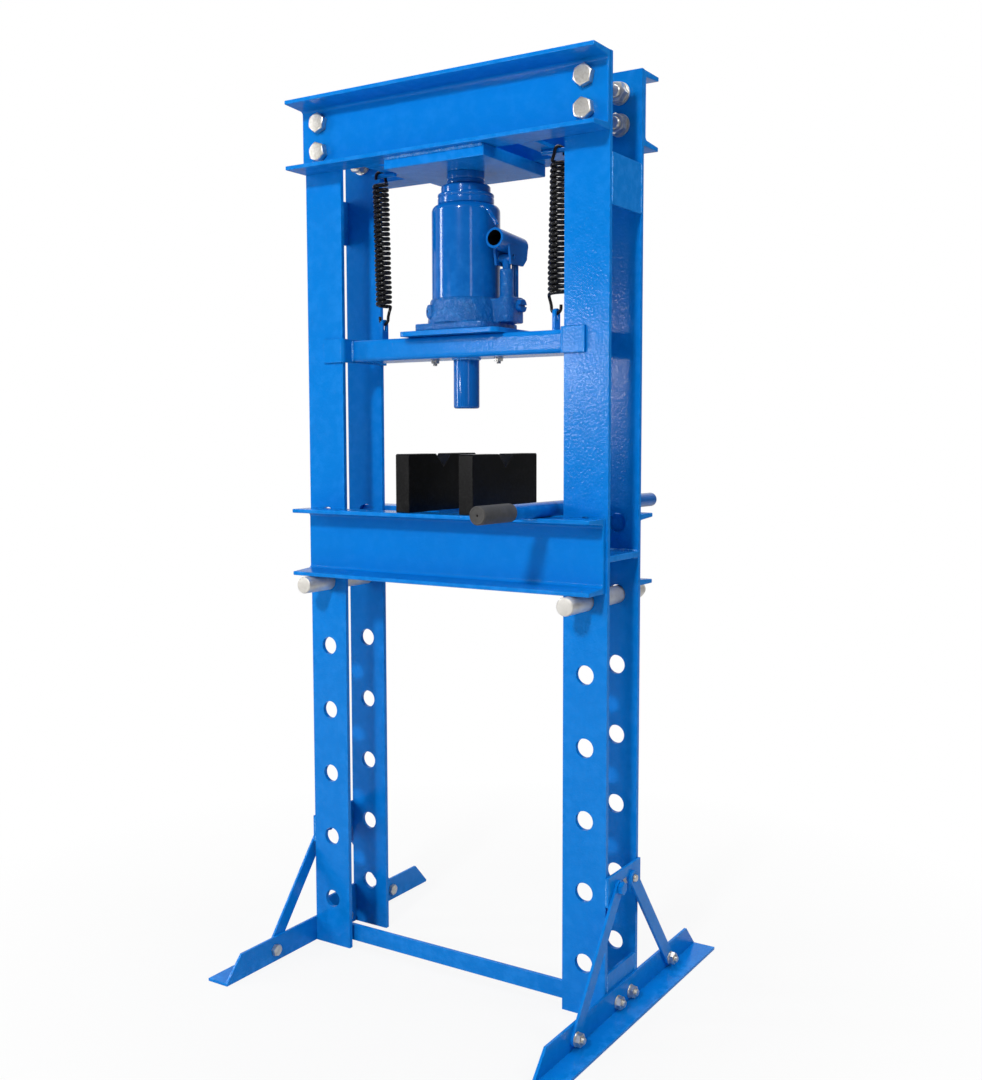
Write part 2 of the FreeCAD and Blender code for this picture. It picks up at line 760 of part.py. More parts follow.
# ================================================================ crosshead
def crosshead():
    half_depth = crosshead_depth / 2
    outer = block((-crosshead_half_length, crosshead_half_length), (-half_depth, half_depth),
                  (crosshead_bottom_z, crosshead_top_z))
    inner = block((-crosshead_half_length, crosshead_half_length),
                  (crosshead_wall - half_depth, half_depth - crosshead_wall),
                  (crosshead_bottom_z + crosshead_wall, crosshead_top_z - crosshead_wall))

    def long_edges(shape):
        return [edge for edge in shape.Edges if edge.BoundBox.XLength > crosshead_half_length]

    outer = outer.makeFillet(crosshead_corner_radius, long_edges(outer))
    inner = inner.makeChamfer(crosshead_corner_radius - crosshead_wall, long_edges(inner))
    holes = []
    for _, side in SIDES:
        low = Vector(side * seat_stud_x, 0, crosshead_bottom_z - 1)
        high = Vector(side * seat_stud_x, 0, crosshead_top_z + 1)
        holes.append(polygon_bar(seat_stud_diameter + 2 * bolt_hole_clearance, small_bolt_sides, low, high))
    save(outer.cut([inner] + holes), "crosshead_tube")


def guides():
    """Bent straps that close the tube's ends and wrap an upright's edge, front and rear."""
    middle_z = (crosshead_bottom_z + crosshead_top_z) / 2
    bottom_z = middle_z - guide_height / 2
    outer_y = guide_inner_y + guide_thickness
    for name, side in SIDES:
        web_x = side * crosshead_half_length
        arm_x = side * (guide_outer_x + guide_wrap)
        solid = block((web_x, arm_x), (-outer_y, outer_y), (bottom_z, bottom_z + guide_height))
        corners = [edge for edge in vertical_edges(solid, guide_height)
                   if abs(edge.BoundBox.XMin - web_x) < 1e-3]
        solid = solid.makeFillet(guide_bend_radius + guide_thickness, corners)
        room_x = side * guide_outer_x
        room = block((room_x, arm_x + side), (-guide_inner_y, guide_inner_y),
                     (bottom_z - 1, bottom_z + guide_height + 1))
        corners = [edge for edge in vertical_edges(room, guide_height + 2)
                   if abs(edge.BoundBox.XMin - room_x) < 1e-3]
        room = room.makeFillet(guide_bend_radius, corners)
        save(solid.cut(room), "guide_" + name)


def spring_lugs():
    crown = lug_width / 2
    for name, side in SIDES:
        face_x = side * spring_x - lug_thickness / 2
        through = X_AXIS * lug_thickness
        crown_centre = Vector(face_x, 0, lug_top_z - crown)
        stem = block((face_x, face_x + lug_thickness), (-crown, crown), (crosshead_top_z, crown_centre.z))
        plate = stem.fuse(round_bar(lug_width, crown_centre, crown_centre + through)).removeSplitter()
        end_radius = lug_slot_width / 2
        upper = Vector(face_x - 1, 0, lug_slot_top_z - end_radius)
        lower = Vector(face_x - 1, 0, lug_slot_top_z - lug_slot_height + end_radius)
        beyond = X_AXIS * (lug_thickness + 2)
        middle = block((upper.x, upper.x + beyond.x), (-end_radius, end_radius), (lower.z, upper.z))
        ends = [round_bar(lug_slot_width, end, end + beyond) for end in (upper, lower)]
        save(plate.cut([middle] + ends), "spring_lug_" + name)


def seat():
    z_range = (crosshead_top_z, seat_plate_top_z)
    plate = rounded_plate(seat_plate_length, seat_plate_depth, z_range, seat_plate_corner_radius)
    holes, studs = [], []
    nut_bottom_z = crosshead_bottom_z - seat_nut_height
    for _, side in SIDES:
        low = Vector(side * seat_stud_x, 0, nut_bottom_z - seat_stud_tip)
        high = Vector(side * seat_stud_x, 0, seat_plate_top_z + seat_stud_engagement)
        holes.append(polygon_bar(seat_stud_diameter + 2 * bolt_hole_clearance, small_bolt_sides, low, high))
        shank = polygon_bar(seat_stud_diameter, small_bolt_sides, low, high)
        nut_low = Vector(low.x, 0, nut_bottom_z)
        nut_high = Vector(low.x, 0, crosshead_bottom_z)
        studs.append(shank.fuse(flats_bar(seat_nut_flats, 6, nut_low, nut_high)).removeSplitter())
    save(plate.cut(holes), "jack_seat_plate")
    save(Part.makeCompound(studs), "seat_studs")


def ram_nose():
    radius = ram_nose_diameter / 2
    bottom_z = crosshead_bottom_z - ram_nose_length
    nose = turned_part([
        (0, bottom_z), (radius - ram_nose_chamfer, bottom_z), (radius, bottom_z + ram_nose_chamfer),
        (radius, crosshead_bottom_z), (0, crosshead_bottom_z),
    ])
    save(nose, "ram_nose")


# ================================================================ jack
def jack_base():
    flange = rounded_plate(jack_flange_length, jack_flange_depth, (seat_plate_top_z, jack_flange_top_z),
                           jack_flange_corner_radius)
    bottom_radius = jack_base_bottom_diameter / 2
    top_radius = jack_base_top_diameter / 2
    casting = turned_part([
        (0, jack_flange_top_z), (bottom_radius, jack_flange_top_z), (top_radius, jack_base_top_z),
        (0, jack_base_top_z),
    ])
    boss_z = (jack_flange_top_z + jack_base_top_z) / 2
    angle = math.radians(filler_boss_angle)
    boss_end = Vector(math.cos(angle), math.sin(angle), 0) * filler_boss_reach + Z_AXIS * boss_z
    filler_boss = round_bar(filler_boss_diameter, Z_AXIS * boss_z, boss_end)
    pump_low = Vector(pump_x, 0, jack_flange_top_z)
    pump_high = Vector(pump_x, 0, pump_body_top_z)
    pump_column = round_bar(2 * pump_body_radius, pump_low, pump_high)
    link_low = Vector(pump_x, link_y, jack_flange_top_z)
    link_column = round_bar(2 * pump_body_radius, link_low, link_low + Z_AXIS * pump_body_height)
    bridge = block((0, pump_x), (-pump_body_radius, link_y + pump_body_radius),
                   (jack_flange_top_z, jack_base_top_z))
    outer_wall = block((pump_x, pump_x + pump_body_radius), (0, link_y),
                       (jack_flange_top_z, pump_body_top_z))
    barrel = round_bar(barrel_diameter, pump_high, pump_high + Z_AXIS * barrel_height)
    body = flange.fuse([casting, filler_boss, pump_column, link_column, bridge, outer_wall, barrel])
    tube_seat = round_bar(pressure_tube_diameter, Z_AXIS * pressure_tube_bottom_z,
                          Z_AXIS * (jack_base_top_z + 1))
    bore = round_bar(2 * barrel_bore_radius, pump_low, pump_high + Z_AXIS * (barrel_height + 1))
    valve_inner = Vector(pump_x + pump_body_radius - valve_stem_length, valve_y, valve_z)
    valve_bore = round_bar(valve_stem_diameter + 2 * valve_clearance, valve_inner - X_AXIS * valve_knob_gap,
                           valve_inner + X_AXIS * (valve_stem_length + 1))
    stud_holes = []
    for _, side in SIDES:
        low = Vector(side * seat_stud_x, 0, seat_plate_top_z - 1)
        high = Vector(side * seat_stud_x, 0, seat_plate_top_z + seat_stud_engagement)
        stud_holes.append(polygon_bar(seat_stud_diameter, small_bolt_sides, low, high))
    link_socket = round_bar(link_diameter, Vector(pump_x, link_y, pump_body_top_z - link_diameter),
                            Vector(pump_x, link_y, pump_body_top_z + 1))
    body = body.cut([tube_seat, bore, valve_bore, link_socket] + stud_holes)
    save(body.removeSplitter(), "jack_base")


def jack_cylinders():
    outer = reservoir_diameter / 2
    inner = outer - reservoir_wall
    hole = spigot_diameter / 2
    lid_z = reservoir_top_z - reservoir_wall
    shoulder_z = reservoir_top_z - reservoir_shoulder
    profile = [(inner, jack_base_top_z), (outer, jack_base_top_z)]
    for step in range(shoulder_steps + 1):
        angle = math.pi / 2 * step / shoulder_steps
        radius = outer - reservoir_shoulder * (1 - math.cos(angle))
        profile.append((radius, shoulder_z + reservoir_shoulder * math.sin(angle)))
    inner_shoulder = inner - reservoir_shoulder + reservoir_wall
    profile += [(hole, reservoir_top_z), (hole, lid_z), (inner_shoulder, lid_z), (inner, shoulder_z)]
    save(turned_part(profile), "reservoir")
    tube_radius = pressure_tube_diameter / 2
    tube = turned_part([
        (cylinder_bore_radius, pressure_tube_bottom_z), (tube_radius, pressure_tube_bottom_z),
        (tube_radius, pressure_tube_top_z), (cylinder_bore_radius, pressure_tube_top_z),
    ])
    save(tube, "pressure_tube")


def jack_top_nut():
    """Screwed lid of the jack: spigot in the reservoir, wide collar, and round nut on top."""
    collar = collar_diameter / 2
    nut = jack_nut_diameter / 2
    spigot = spigot_diameter / 2
    lid = turned_part([
        (cylinder_bore_radius, pressure_tube_top_z), (spigot, pressure_tube_top_z),
        (spigot, reservoir_top_z), (collar, reservoir_top_z), (collar, collar_top_z), (nut, collar_top_z),
        (nut, jack_nut_top_z - jack_nut_chamfer), (nut - jack_nut_chamfer, jack_nut_top_z),
        (cylinder_bore_radius, jack_nut_top_z),
    ])
    save(lid, "jack_top_nut")


def jack_piston():
    radius = piston_diameter / 2
    piston = turned_part([
        (0, piston_bottom_z), (radius - piston_chamfer, piston_bottom_z),
        (radius, piston_bottom_z + piston_chamfer), (radius, bolster_bottom_z), (0, bolster_bottom_z),
    ])
    save(piston, "jack_piston")


# ================================================================ pump
def pin_across(y, clearance=0.0, extra=0.0):
    """The pump's cross pin at y, as wide as the lever's cheeks."""
    diameter = pump_pin_diameter + 2 * clearance
    reach = cheek_outer + extra
    return round_bar(diameter, Vector(pump_x - reach, y, pump_pin_z), Vector(pump_x + reach, y, pump_pin_z))


def pump_lever():
    """Handle socket: a sloped tube with two cheeks that straddle the link and the plunger."""
    slope = math.radians(socket_tube_slope)
    along = Vector(0, math.cos(slope), -math.sin(slope))
    front = Vector(pump_x, socket_tube_front_y, socket_tube_front_z)
    back = front + along * socket_tube_length
    tube = round_bar(socket_tube_diameter, front, back)
    cheek_low = pump_pin_z - cheek_reach
    cheek_high = socket_tube_front_z - socket_tube_diameter * cheek_top_share
    outline_y = [-cheek_reach, link_y, link_y + cheek_reach, back.y, cheek_front_y]
    outline_z = [cheek_low, cheek_low, pump_pin_z, cheek_high, cheek_high]
    cheeks = []
    for _, side in SIDES:
        points = [Vector(pump_x + side * cheek_inner, y, z) for y, z in zip(outline_y, outline_z)]
        cheeks.append(prism(points, X_AXIS * side * cheek_thickness))
    bore = round_bar(socket_tube_bore, front - along, front + along * socket_bore_depth)
    slot_ends = [-plunger_slot_length, 0.0]
    slots = [pin_across(y, plunger_slot_play, 1) for y in slot_ends]
    slot_half = pump_pin_diameter / 2 + plunger_slot_play
    reach = cheek_outer + 1
    slots.append(block((pump_x - reach, pump_x + reach), slot_ends,
                       (pump_pin_z - slot_half, pump_pin_z + slot_half)))
    eye_room = round_bar(link_eye_diameter + 2 * lever_gap, Vector(pump_x - cheek_inner, link_y, pump_pin_z),
                         Vector(pump_x + cheek_inner, link_y, pump_pin_z))
    lever = tube.fuse(cheeks)
    lever = lever.cut([bore, eye_room, pin_across(link_y, 0, 1)] + slots).removeSplitter()
    save(lever, "handle_socket")


def pump_link():
    """Post that carries the lever's fulcrum, with an eye for the fulcrum pin."""
    foot = Vector(pump_x, link_y, pump_body_top_z - link_diameter)
    top = Vector(pump_x, link_y, pump_pin_z)
    post = round_bar(link_diameter, foot, top)
    eye_reach = cheek_inner - lever_gap
    eye = round_bar(link_eye_diameter, Vector(pump_x - eye_reach, link_y, pump_pin_z),
                    Vector(pump_x + eye_reach, link_y, pump_pin_z))
    save(post.fuse(eye).cut(pin_across(link_y, pump_pin_clearance, 1)).removeSplitter(), "pump_link")


def pump_plunger():
    """Plunger rod, its head and the cross pin that the lever's slots push."""
    bottom = Vector(pump_x, 0, pump_body_top_z - plunger_engagement)
    head_radius = pump_pin_diameter / 2 + plunger_head_wall
    head_reach = cheek_inner - lever_gap
    rod = round_bar(plunger_diameter, bottom, Vector(pump_x, 0, pump_pin_z))
    head = round_bar(2 * head_radius, Vector(pump_x - head_reach, 0, pump_pin_z),
                     Vector(pump_x + head_reach, 0, pump_pin_z))
    save(rod.fuse([head, pin_across(0)]).removeSplitter(), "pump_plunger")


def fulcrum_pin():
    save(pin_across(link_y), "fulcrum_pin")


def release_valve():
    stem_end = pump_x + pump_body_radius - valve_stem_length
    knob_start = pump_x + pump_body_radius + valve_knob_gap
    knob_end = knob_start + valve_knob_length

    def at(x):
        return Vector(x, valve_y, valve_z)

    stem = round_bar(valve_stem_diameter, at(stem_end), at(knob_start + 1))
    knob = round_bar(valve_knob_diameter, at(knob_start), at(knob_end))
    reach = valve_knob_diameter
    slot = block((knob_end - valve_slot_depth, knob_end + 1), (valve_y - reach, valve_y + reach),
                 (valve_z - valve_slot_width / 2, valve_z + valve_slot_width / 2))
    save(stem.fuse(knob).cut(slot).removeSplitter(), "release_valve")


# ================================================================ bed
def bed():
    for row, back in FRONT_AND_REAR:
        save(channel(bed_length, back * bed_web_y, bed_bottom_z, back), "bed_channel_" + row)
    middle_z = (bed_bottom_z + bed_top_z) / 2
    ties = []
    for _, side in SIDES:
        tie_x = (side * bed_tie_x - bed_tie_thickness / 2, side * bed_tie_x + bed_tie_thickness / 2)
        tie_z = (middle_z - bed_tie_height / 2, middle_z + bed_tie_height / 2)
        ties.append(block(tie_x, (-bed_web_y, bed_web_y), tie_z))
    save(Part.makeCompound(ties), "bed_ties")


def bed_pins():
    for name, side in SIDES:
        def at(y):
            return Vector(side * upright_centre_x, y, bed_pin_z)

        taper_y = bed_pin_back_y - bed_pin_taper_length
        shank = round_bar(bed_pin_diameter, at(bed_pin_front_y), at(taper_y))
        tip = Part.makeCone(bed_pin_diameter / 2, bed_pin_tip_diameter / 2, bed_pin_taper_length,
                            at(taper_y), Y_AXIS)
        save(shank.fuse(tip).removeSplitter(), "bed_pin_" + name)


def v_blocks():
    half = v_block_length / 2
    notch = v_notch_width / 2
    top_z = bed_top_z + v_block_height
    outline = [(-half, bed_top_z), (half, bed_top_z), (half, top_z - v_block_bevel),
               (half - v_block_bevel, top_z), (notch, top_z), (0, top_z - notch), (-notch, top_z),
               (v_block_bevel - half, top_z), (-half, top_z - v_block_bevel)]
    for (name, _), centre_x in zip(SIDES, v_block_centres_x):
        left_x = centre_x - v_block_thickness / 2
        points = [Vector(left_x, y, z) for y, z in outline]
        save(prism(points, X_AXIS * v_block_thickness), "v_block_" + name)


def loose_handle():
    """Pump handle laid on the bed, with its grip hanging over the front flange."""
    height = bed_top_z + handle_diameter / 2
    front = Vector(handle_front[0], handle_front[1], height)
    back = Vector(handle_back[0], handle_back[1], height)
    along = (back - front).normalize()
    grip_end = front + along * handle_grip_length
    rod = round_bar(handle_diameter, grip_end, back)
    far_rim = [edge for edge in rod.Edges if (edge.CenterOfMass - back).Length < 1e-3]
    save(rod.makeChamfer(handle_chamfer, far_rim), "handle_rod")
    grip = round_bar(handle_grip_diameter, front, grip_end)
    near_rim = [edge for edge in grip.Edges if (edge.CenterOfMass - front).Length < 1e-3]
    save(grip.makeChamfer(grip_chamfer, near_rim), "handle_grip")


os.makedirs("parts", exist_ok=True)
uprights()
top_beams()
beam_fasteners()
spacers()
head_pieces()
spring_hangers()
feet()
brackets_and_braces()
cross_brace()
foot_fasteners()
crosshead()
guides()
spring_lugs()
seat()
ram_nose()
jack_base()
jack_cylinders()
jack_top_nut()
jack_piston()
pump_lever()
pump_link()
pump_plunger()
fulcrum_pin()
release_valve()
bed()
bed_pins()
v_blocks()
loose_handle()
return_springs()
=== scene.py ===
import json
import math

import bmesh
import bpy
from mathutils import Matrix, Vector
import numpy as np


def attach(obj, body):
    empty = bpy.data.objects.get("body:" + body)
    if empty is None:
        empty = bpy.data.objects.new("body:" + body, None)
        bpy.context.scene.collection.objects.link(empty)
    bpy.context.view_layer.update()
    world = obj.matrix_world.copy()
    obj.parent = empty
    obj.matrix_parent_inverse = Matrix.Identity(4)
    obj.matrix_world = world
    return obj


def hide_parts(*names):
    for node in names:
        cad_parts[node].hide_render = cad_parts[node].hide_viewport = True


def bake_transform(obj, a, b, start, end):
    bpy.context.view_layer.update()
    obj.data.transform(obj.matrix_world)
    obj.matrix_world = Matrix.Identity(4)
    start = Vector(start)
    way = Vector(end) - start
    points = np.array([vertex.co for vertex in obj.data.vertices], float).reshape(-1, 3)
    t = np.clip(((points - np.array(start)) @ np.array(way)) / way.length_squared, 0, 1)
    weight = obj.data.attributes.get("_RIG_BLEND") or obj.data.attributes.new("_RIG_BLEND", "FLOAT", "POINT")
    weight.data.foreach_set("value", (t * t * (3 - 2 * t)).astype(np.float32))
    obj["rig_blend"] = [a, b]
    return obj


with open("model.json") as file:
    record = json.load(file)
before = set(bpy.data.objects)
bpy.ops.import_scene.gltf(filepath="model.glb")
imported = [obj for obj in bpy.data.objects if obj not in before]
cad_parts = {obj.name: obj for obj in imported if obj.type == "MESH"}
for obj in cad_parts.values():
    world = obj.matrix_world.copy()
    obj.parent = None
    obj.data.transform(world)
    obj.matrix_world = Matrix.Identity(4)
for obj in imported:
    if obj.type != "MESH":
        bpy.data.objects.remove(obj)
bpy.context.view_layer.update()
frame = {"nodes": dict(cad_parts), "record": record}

# Looks of the workshop press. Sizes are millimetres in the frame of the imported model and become
# metres where a mesh is made. Textures are laid out in metres.
body_of_node = {node: body for body, nodes in frame["record"]["behaviour"]["bodies"].items()
                for node in nodes}

X_AXIS = Vector((1, 0, 0))
Y_AXIS = Vector((0, 1, 0))
Z_AXIS = Vector((0, 0, 1))
IN_PLACE = Matrix.Identity(4)
ON_AXIS = 0.01           # radius at which a turned form's end is closed
HEX_POINTS = 48          # points round a bolt's head or nut, a multiple of six
RIM_SHARE = 0.95         # radius of its flat ring, as a share of half its width over flats
SIDES = (("left", -1), ("right", 1))
THREADED_ANGLE = 28      # degrees; sharper edges stay sharp on fasteners
BEAD_ANGLE = 60          # the same on weld beads and springs

# ======== sizes shared with the solids
upright_x = 266.0
upright_outer_x = 306.0
upright_inner_y = 52.0
upright_outer_y = 60.0
beam_web = 7.0
beam_bolt_heights = (1505.0, 1455.0)
crosshead_bottom_z = 1086.0
crosshead_top_z = 1124.0
jack_base_top_z = 1184.0
reservoir_top_z = 1345.0
jack_nut_top_z = 1378.0
bolster_bottom_z = 1400.0
beam_bottom_z = 1420.0
bed_pin_z = 687.05
bed_top_z = 822.2
spring_x = 178.0
nose_radius = 22.5
filler_angle = -125.0    # degrees from X
handle_radius = 12.5
grip_length = 88.0


# ======== mesh making
def add_piece(name, mesh, finish):
    """A new object from a mesh in metres, with one finish all over."""
    piece = bpy.data.objects.new(name, mesh)
    bpy.context.scene.collection.objects.link(piece)
    mesh.materials.clear()
    mesh.materials.append(finish)
    return piece


def mesh_from(name, build):
    """A mesh in metres from a function that fills a bmesh in millimetres."""
    work = bmesh.new()
    build(work)
    bmesh.ops.recalc_face_normals(work, faces=work.faces)
    work.transform(Matrix.Scale(0.001, 4))
    mesh = bpy.data.meshes.new(name)
    work.to_mesh(mesh)
    work.free()
    return mesh


def shade(mesh, angle):
    """Smooth shading that keeps edges sharper than the angle in degrees."""
    mesh.shade_smooth()
    mesh.set_sharp_from_angle(angle=math.radians(angle))


def settle(piece):
    """Turns a piece's modifiers into plain mesh."""
    graph = bpy.context.evaluated_depsgraph_get()
    graph.update()
    done = bpy.data.meshes.new_from_object(piece.evaluated_get(graph), depsgraph=graph)
    piece.modifiers.clear()
    piece.data = done


def stand_in(piece, body, nodes=()):
    """A piece rides on its body and hides the nodes it stands for; trim has none and is painted."""
    if nodes:
        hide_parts(*nodes)
    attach(piece, body)
    return piece


def dress(name, build, finish, body, nodes=(), angle=35.0):
    """A piece made by a build function, shaded and set on its body."""
    mesh = mesh_from(name, build)
    shade(mesh, angle)
    return stand_in(add_piece(name, mesh, finish), body, nodes)


def recoat(piece, finish, belongs):
    """A second finish on the faces that a test picks by their middle, in millimetres."""
    piece.data.materials.append(finish)
    for face in piece.data.polygons:
        if belongs(face.center * 1000):
            face.material_index = 1


def ring_stack(work, rings, closed=False):
    """Skin over rings of points; the ends are capped unless the last ring joins the first."""
    layers = [[work.verts.new(point) for point in ring] for ring in rings]
    pairs = list(zip(layers, layers[1:]))
    if closed:
        pairs.append((layers[-1], layers[0]))
    for lower, upper in pairs:
        for k in range(len(lower)):
            after = (k + 1) % len(lower)
            work.faces.new((lower[k], lower[after], upper[after], upper[k]))
    if not closed:
        work.faces.new(layers[0][::-1])
        work.faces.new(layers[-1])


def placing(origin, direction, turn=0.0):
    """Matrix that carries the Z axis to a direction at an origin."""
    rotation = direction.to_track_quat("Z", "Y").to_matrix().to_4x4()
    return Matrix.Translation(origin) @ rotation @ Matrix.Rotation(turn, 4, "Z")


def on_circle(radius, angle, height):
    return Vector((radius * math.cos(angle), radius * math.sin(angle), height))


def circle(radius, height, count=HEX_POINTS):
    return [on_circle(radius, 2 * math.pi * k / count, height) for k in range(count)]


def placed_stack(work, place, rings, closed=False):
    ring_stack(work, [[place @ point for point in ring] for ring in rings], closed)


def lathe(work, profile, place, count, closed=False):
    """Turned form from (radius, height) corners; a closed profile leaves a hole through it."""
    rings = [circle(radius, height, count) for radius, height in profile]
    placed_stack(work, place, rings, closed)


def softened_profile(corners, radius, closed=False):
    """Corners of a turned profile, each one rounded by a small radius."""
    steps = 3
    points = [Vector((x, y)) for x, y in corners]
    rounded = []
    count = len(points)
    for k, corner in enumerate(points):
        if not closed and k in (0, count - 1):
            rounded.append(tuple(corner))
            continue
        before = points[k - 1] - corner
        after = points[(k + 1) % count] - corner
        reach = min(radius, before.length * 0.45, after.length * 0.45)
        start = corner + before.normalized() * reach
        end = corner + after.normalized() * reach
        for step in range(steps + 1):
            t = step / steps
            rounded.append(tuple(start * (1 - t) ** 2 + corner * 2 * t * (1 - t) + end * t ** 2))
    return rounded


def hexagon_ring(flats, height, chamfer_from=math.inf, slope=0.55):
    """Outline of a hexagon; beyond the radius where a chamfer starts, it sinks under a cone."""
    ring = []
    for k in range(HEX_POINTS):
        angle = 2 * math.pi * k / HEX_POINTS
        within = angle % (math.pi / 3) - math.pi / 6
        reach = flats / 2 / math.cos(within)
        level = height - max(0.0, reach - chamfer_from) * slope
        ring.append(on_circle(reach, angle, level))
    return ring


def hexagon_head(work, place, flats, height):
    """Bolt head with a washer face below and chamfered corners above."""
    rim = flats / 2 * RIM_SHARE
    washer_face = [circle(rim, 0.0), circle(rim, 0.5), hexagon_ring(flats, 0.55)]
    crown = [hexagon_ring(flats, height, chamfer_from=rim), circle(rim, height)]
    placed_stack(work, place, washer_face + crown + [circle(rim - 0.6, height + 0.05)])


def hexagon_nut(work, place, flats, height, bore):
    """Nut with both faces chamfered and a countersunk hole."""
    rim = flats / 2 * RIM_SHARE
    sink = 0.8
    lower = hexagon_ring(flats, 0.0, chamfer_from=rim, slope=-0.55)
    upper = hexagon_ring(flats, height, chamfer_from=rim)
    rings = [circle(bore / 2 + sink, 0.0), circle(rim, 0.0), lower, upper]
    rings += [circle(rim, height), circle(bore / 2 + sink, height)]
    rings += [circle(bore / 2, height - sink), circle(bore / 2, sink)]
    placed_stack(work, place, rings, closed=True)


def washer(work, place, outer, inner, thickness):
    hole, rim = inner / 2, outer / 2
    corners = [(hole, 0), (rim, 0), (rim, thickness), (hole, thickness)]
    lathe(work, softened_profile(corners, 0.4, closed=True), place, 56, closed=True)


def threaded_rod(work, place, diameter, length, pitch, count=36):
    """A rod whose surface is a screw thread and whose far end has a small chamfer."""
    major = diameter / 2
    depth = 0.54 * pitch
    rings = []
    levels = max(6, int(length / pitch * 8))
    for step in range(levels + 1):
        height = length * step / levels
        chamfer = major - depth + (0.15 + 0.75 * max(0.0, length - height))
        ring = []
        for k in range(count):
            share = (height / pitch - k / count) % 1.0
            groove = 1 - abs(2 * share - 1)
            reach = min(major - depth * groove, chamfer)
            ring.append(on_circle(reach, 2 * math.pi * k / count, height))
        rings.append(ring)
    placed_stack(work, place, rings)


def tube_along(work, points, radius, sides, ripple=None):
    """A tube along points; its radius may change by a function of the point's number."""
    rings = []
    side = None
    for k, point in enumerate(points):
        before = points[max(0, k - 1)]
        after = points[min(len(points) - 1, k + 1)]
        along = (after - before).normalized()
        if side is None:
            side = along.orthogonal().normalized()
        side = (side - along * side.dot(along)).normalized()
        across = along.cross(side)
        reach = radius if ripple is None else radius * ripple(k)
        ring = []
        for step in range(sides):
            angle = 2 * math.pi * step / sides
            ring.append(point + (side * math.cos(angle) + across * math.sin(angle)) * reach)
        rings.append(ring)
    ring_stack(work, rings)


def weld_bead(work, start, end, radius, seed):
    """A hand-laid bead: overlapping puddles with a slight wander."""
    run = end - start
    spacing = 0.7
    count = max(8, int(run.length / spacing))
    across = run.normalized().cross(Z_AXIS)
    if across.length < 0.5:
        across = X_AXIS
    points = []
    for k in range(count + 1):
        travel = k / count
        wander = 0.25 * math.sin(travel * run.length * 0.31 + seed)
        wander += 0.18 * math.sin(travel * 41 + 2 * seed)
        points.append(start + run * travel + across.normalized() * wander)

    def puddle(k):
        travel = run.length * k / count
        wave = 0.9 + 0.14 * abs(math.sin(travel * math.pi / 2.6 + seed))
        swell = 0.08 * math.sin(travel * 0.23 + 3 * seed)
        ends = min(1.0, 0.45 + 0.12 * min(k, count - k))
        return (wave + swell) * ends

    tube_along(work, points, radius, 10, puddle)


def softened(node, finish, width, segments=2, angle=32.0):
    """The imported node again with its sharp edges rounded; it stands for the node."""
    mesh = frame["nodes"][node].data.copy()
    work = bmesh.new()
    work.from_mesh(mesh)
    bmesh.ops.remove_doubles(work, verts=work.verts, dist=2e-6)     # metres
    bmesh.ops.dissolve_limit(work, angle_limit=math.radians(0.4), verts=work.verts,
                             edges=work.edges, use_dissolve_boundaries=False)
    bmesh.ops.recalc_face_normals(work, faces=work.faces)
    work.to_mesh(mesh)
    work.free()
    for layer in list(mesh.attributes):
        if layer.name == "custom_normal":
            mesh.attributes.remove(layer)
    mesh.name = node + "_skin"
    piece = add_piece(node + "_skin", mesh, finish)
    mesh.shade_smooth()
    bevel = piece.modifiers.new("soft_edges", "BEVEL")
    bevel.width = width / 1000
    bevel.segments = segments
    bevel.limit_method = "ANGLE"
    bevel.angle_limit = math.radians(angle)
    bevel.miter_outer = "MITER_ARC"
    weighted = piece.modifiers.new("flat_faces", "WEIGHTED_NORMAL")
    weighted.keep_sharp = True
    settle(piece)
    return stand_in(piece, body_of_node[node], (node,))


def softened_pair(base, finish, width, segments=2):
    for name, _ in SIDES:
        softened(base + "_" + name, finish, width, segments)


# ======== shared effects
SOCKET_KINDS = {1: "NodeSocketFloat", 3: "NodeSocketVector", 4: "NodeSocketColor"}
SURFACE_OUTPUTS = ("Color", "Roughness", "Height")


def new_effect(name, inputs, outputs):
    """An empty shader node group, what it is given and what it has to hand over."""
    group = bpy.data.node_groups.new(name, "ShaderNodeTree")
    for label, value in inputs.items():
        kind = SOCKET_KINDS[1 if isinstance(value, float) else len(value)]
        socket = group.interface.new_socket(name=label, in_out="INPUT", socket_type=kind)
        socket.default_value = value
    for label in outputs:
        kind = SOCKET_KINDS[4 if label == "Color" else 1]
        group.interface.new_socket(name=label, in_out="OUTPUT", socket_type=kind)
    entry = group.nodes.new("NodeGroupInput")
    leave = group.nodes.new("NodeGroupOutput")
    return group, entry.outputs, leave.inputs


def hand_over(group, result, *values):
    """Links an effect's results in the order of its outputs."""
    for socket, value in zip(result, values):
        group.links.new(value, socket)
    return group


def feed(tree, socket, value):
    """Links what another node gives to a socket, or writes a constant on it."""
    if isinstance(value, bpy.types.NodeSocket):
        tree.links.new(value, socket)
    else:
        socket.default_value = value


def surface_place(tree):
    return tree.nodes.new("ShaderNodeTexCoord").outputs["Object"]


def math_node(tree, operation, *values, clamp=False):
    node = tree.nodes.new("ShaderNodeMath")
    node.operation = operation
    node.use_clamp = clamp
    for socket, value in zip(node.inputs, values):
        feed(tree, socket, value)
    return node.outputs[0]


def product(tree, first, second, clamp=False):
    return math_node(tree, "MULTIPLY", first, second, clamp=clamp)


def multiply_vectors(tree, first, second):
    node = tree.nodes.new("ShaderNodeVectorMath")
    node.operation = "MULTIPLY"
    feed(tree, node.inputs[0], first)
    feed(tree, node.inputs[1], second)
    return node.outputs[0]


def noise_node(tree, place, scale, detail=2.0, roughness=0.5):
    node = tree.nodes.new("ShaderNodeTexNoise")
    for label, value in (("Vector", place), ("Scale", scale), ("Detail", detail),
                         ("Roughness", roughness)):
        feed(tree, node.inputs[label], value)
    return node.outputs["Fac"]


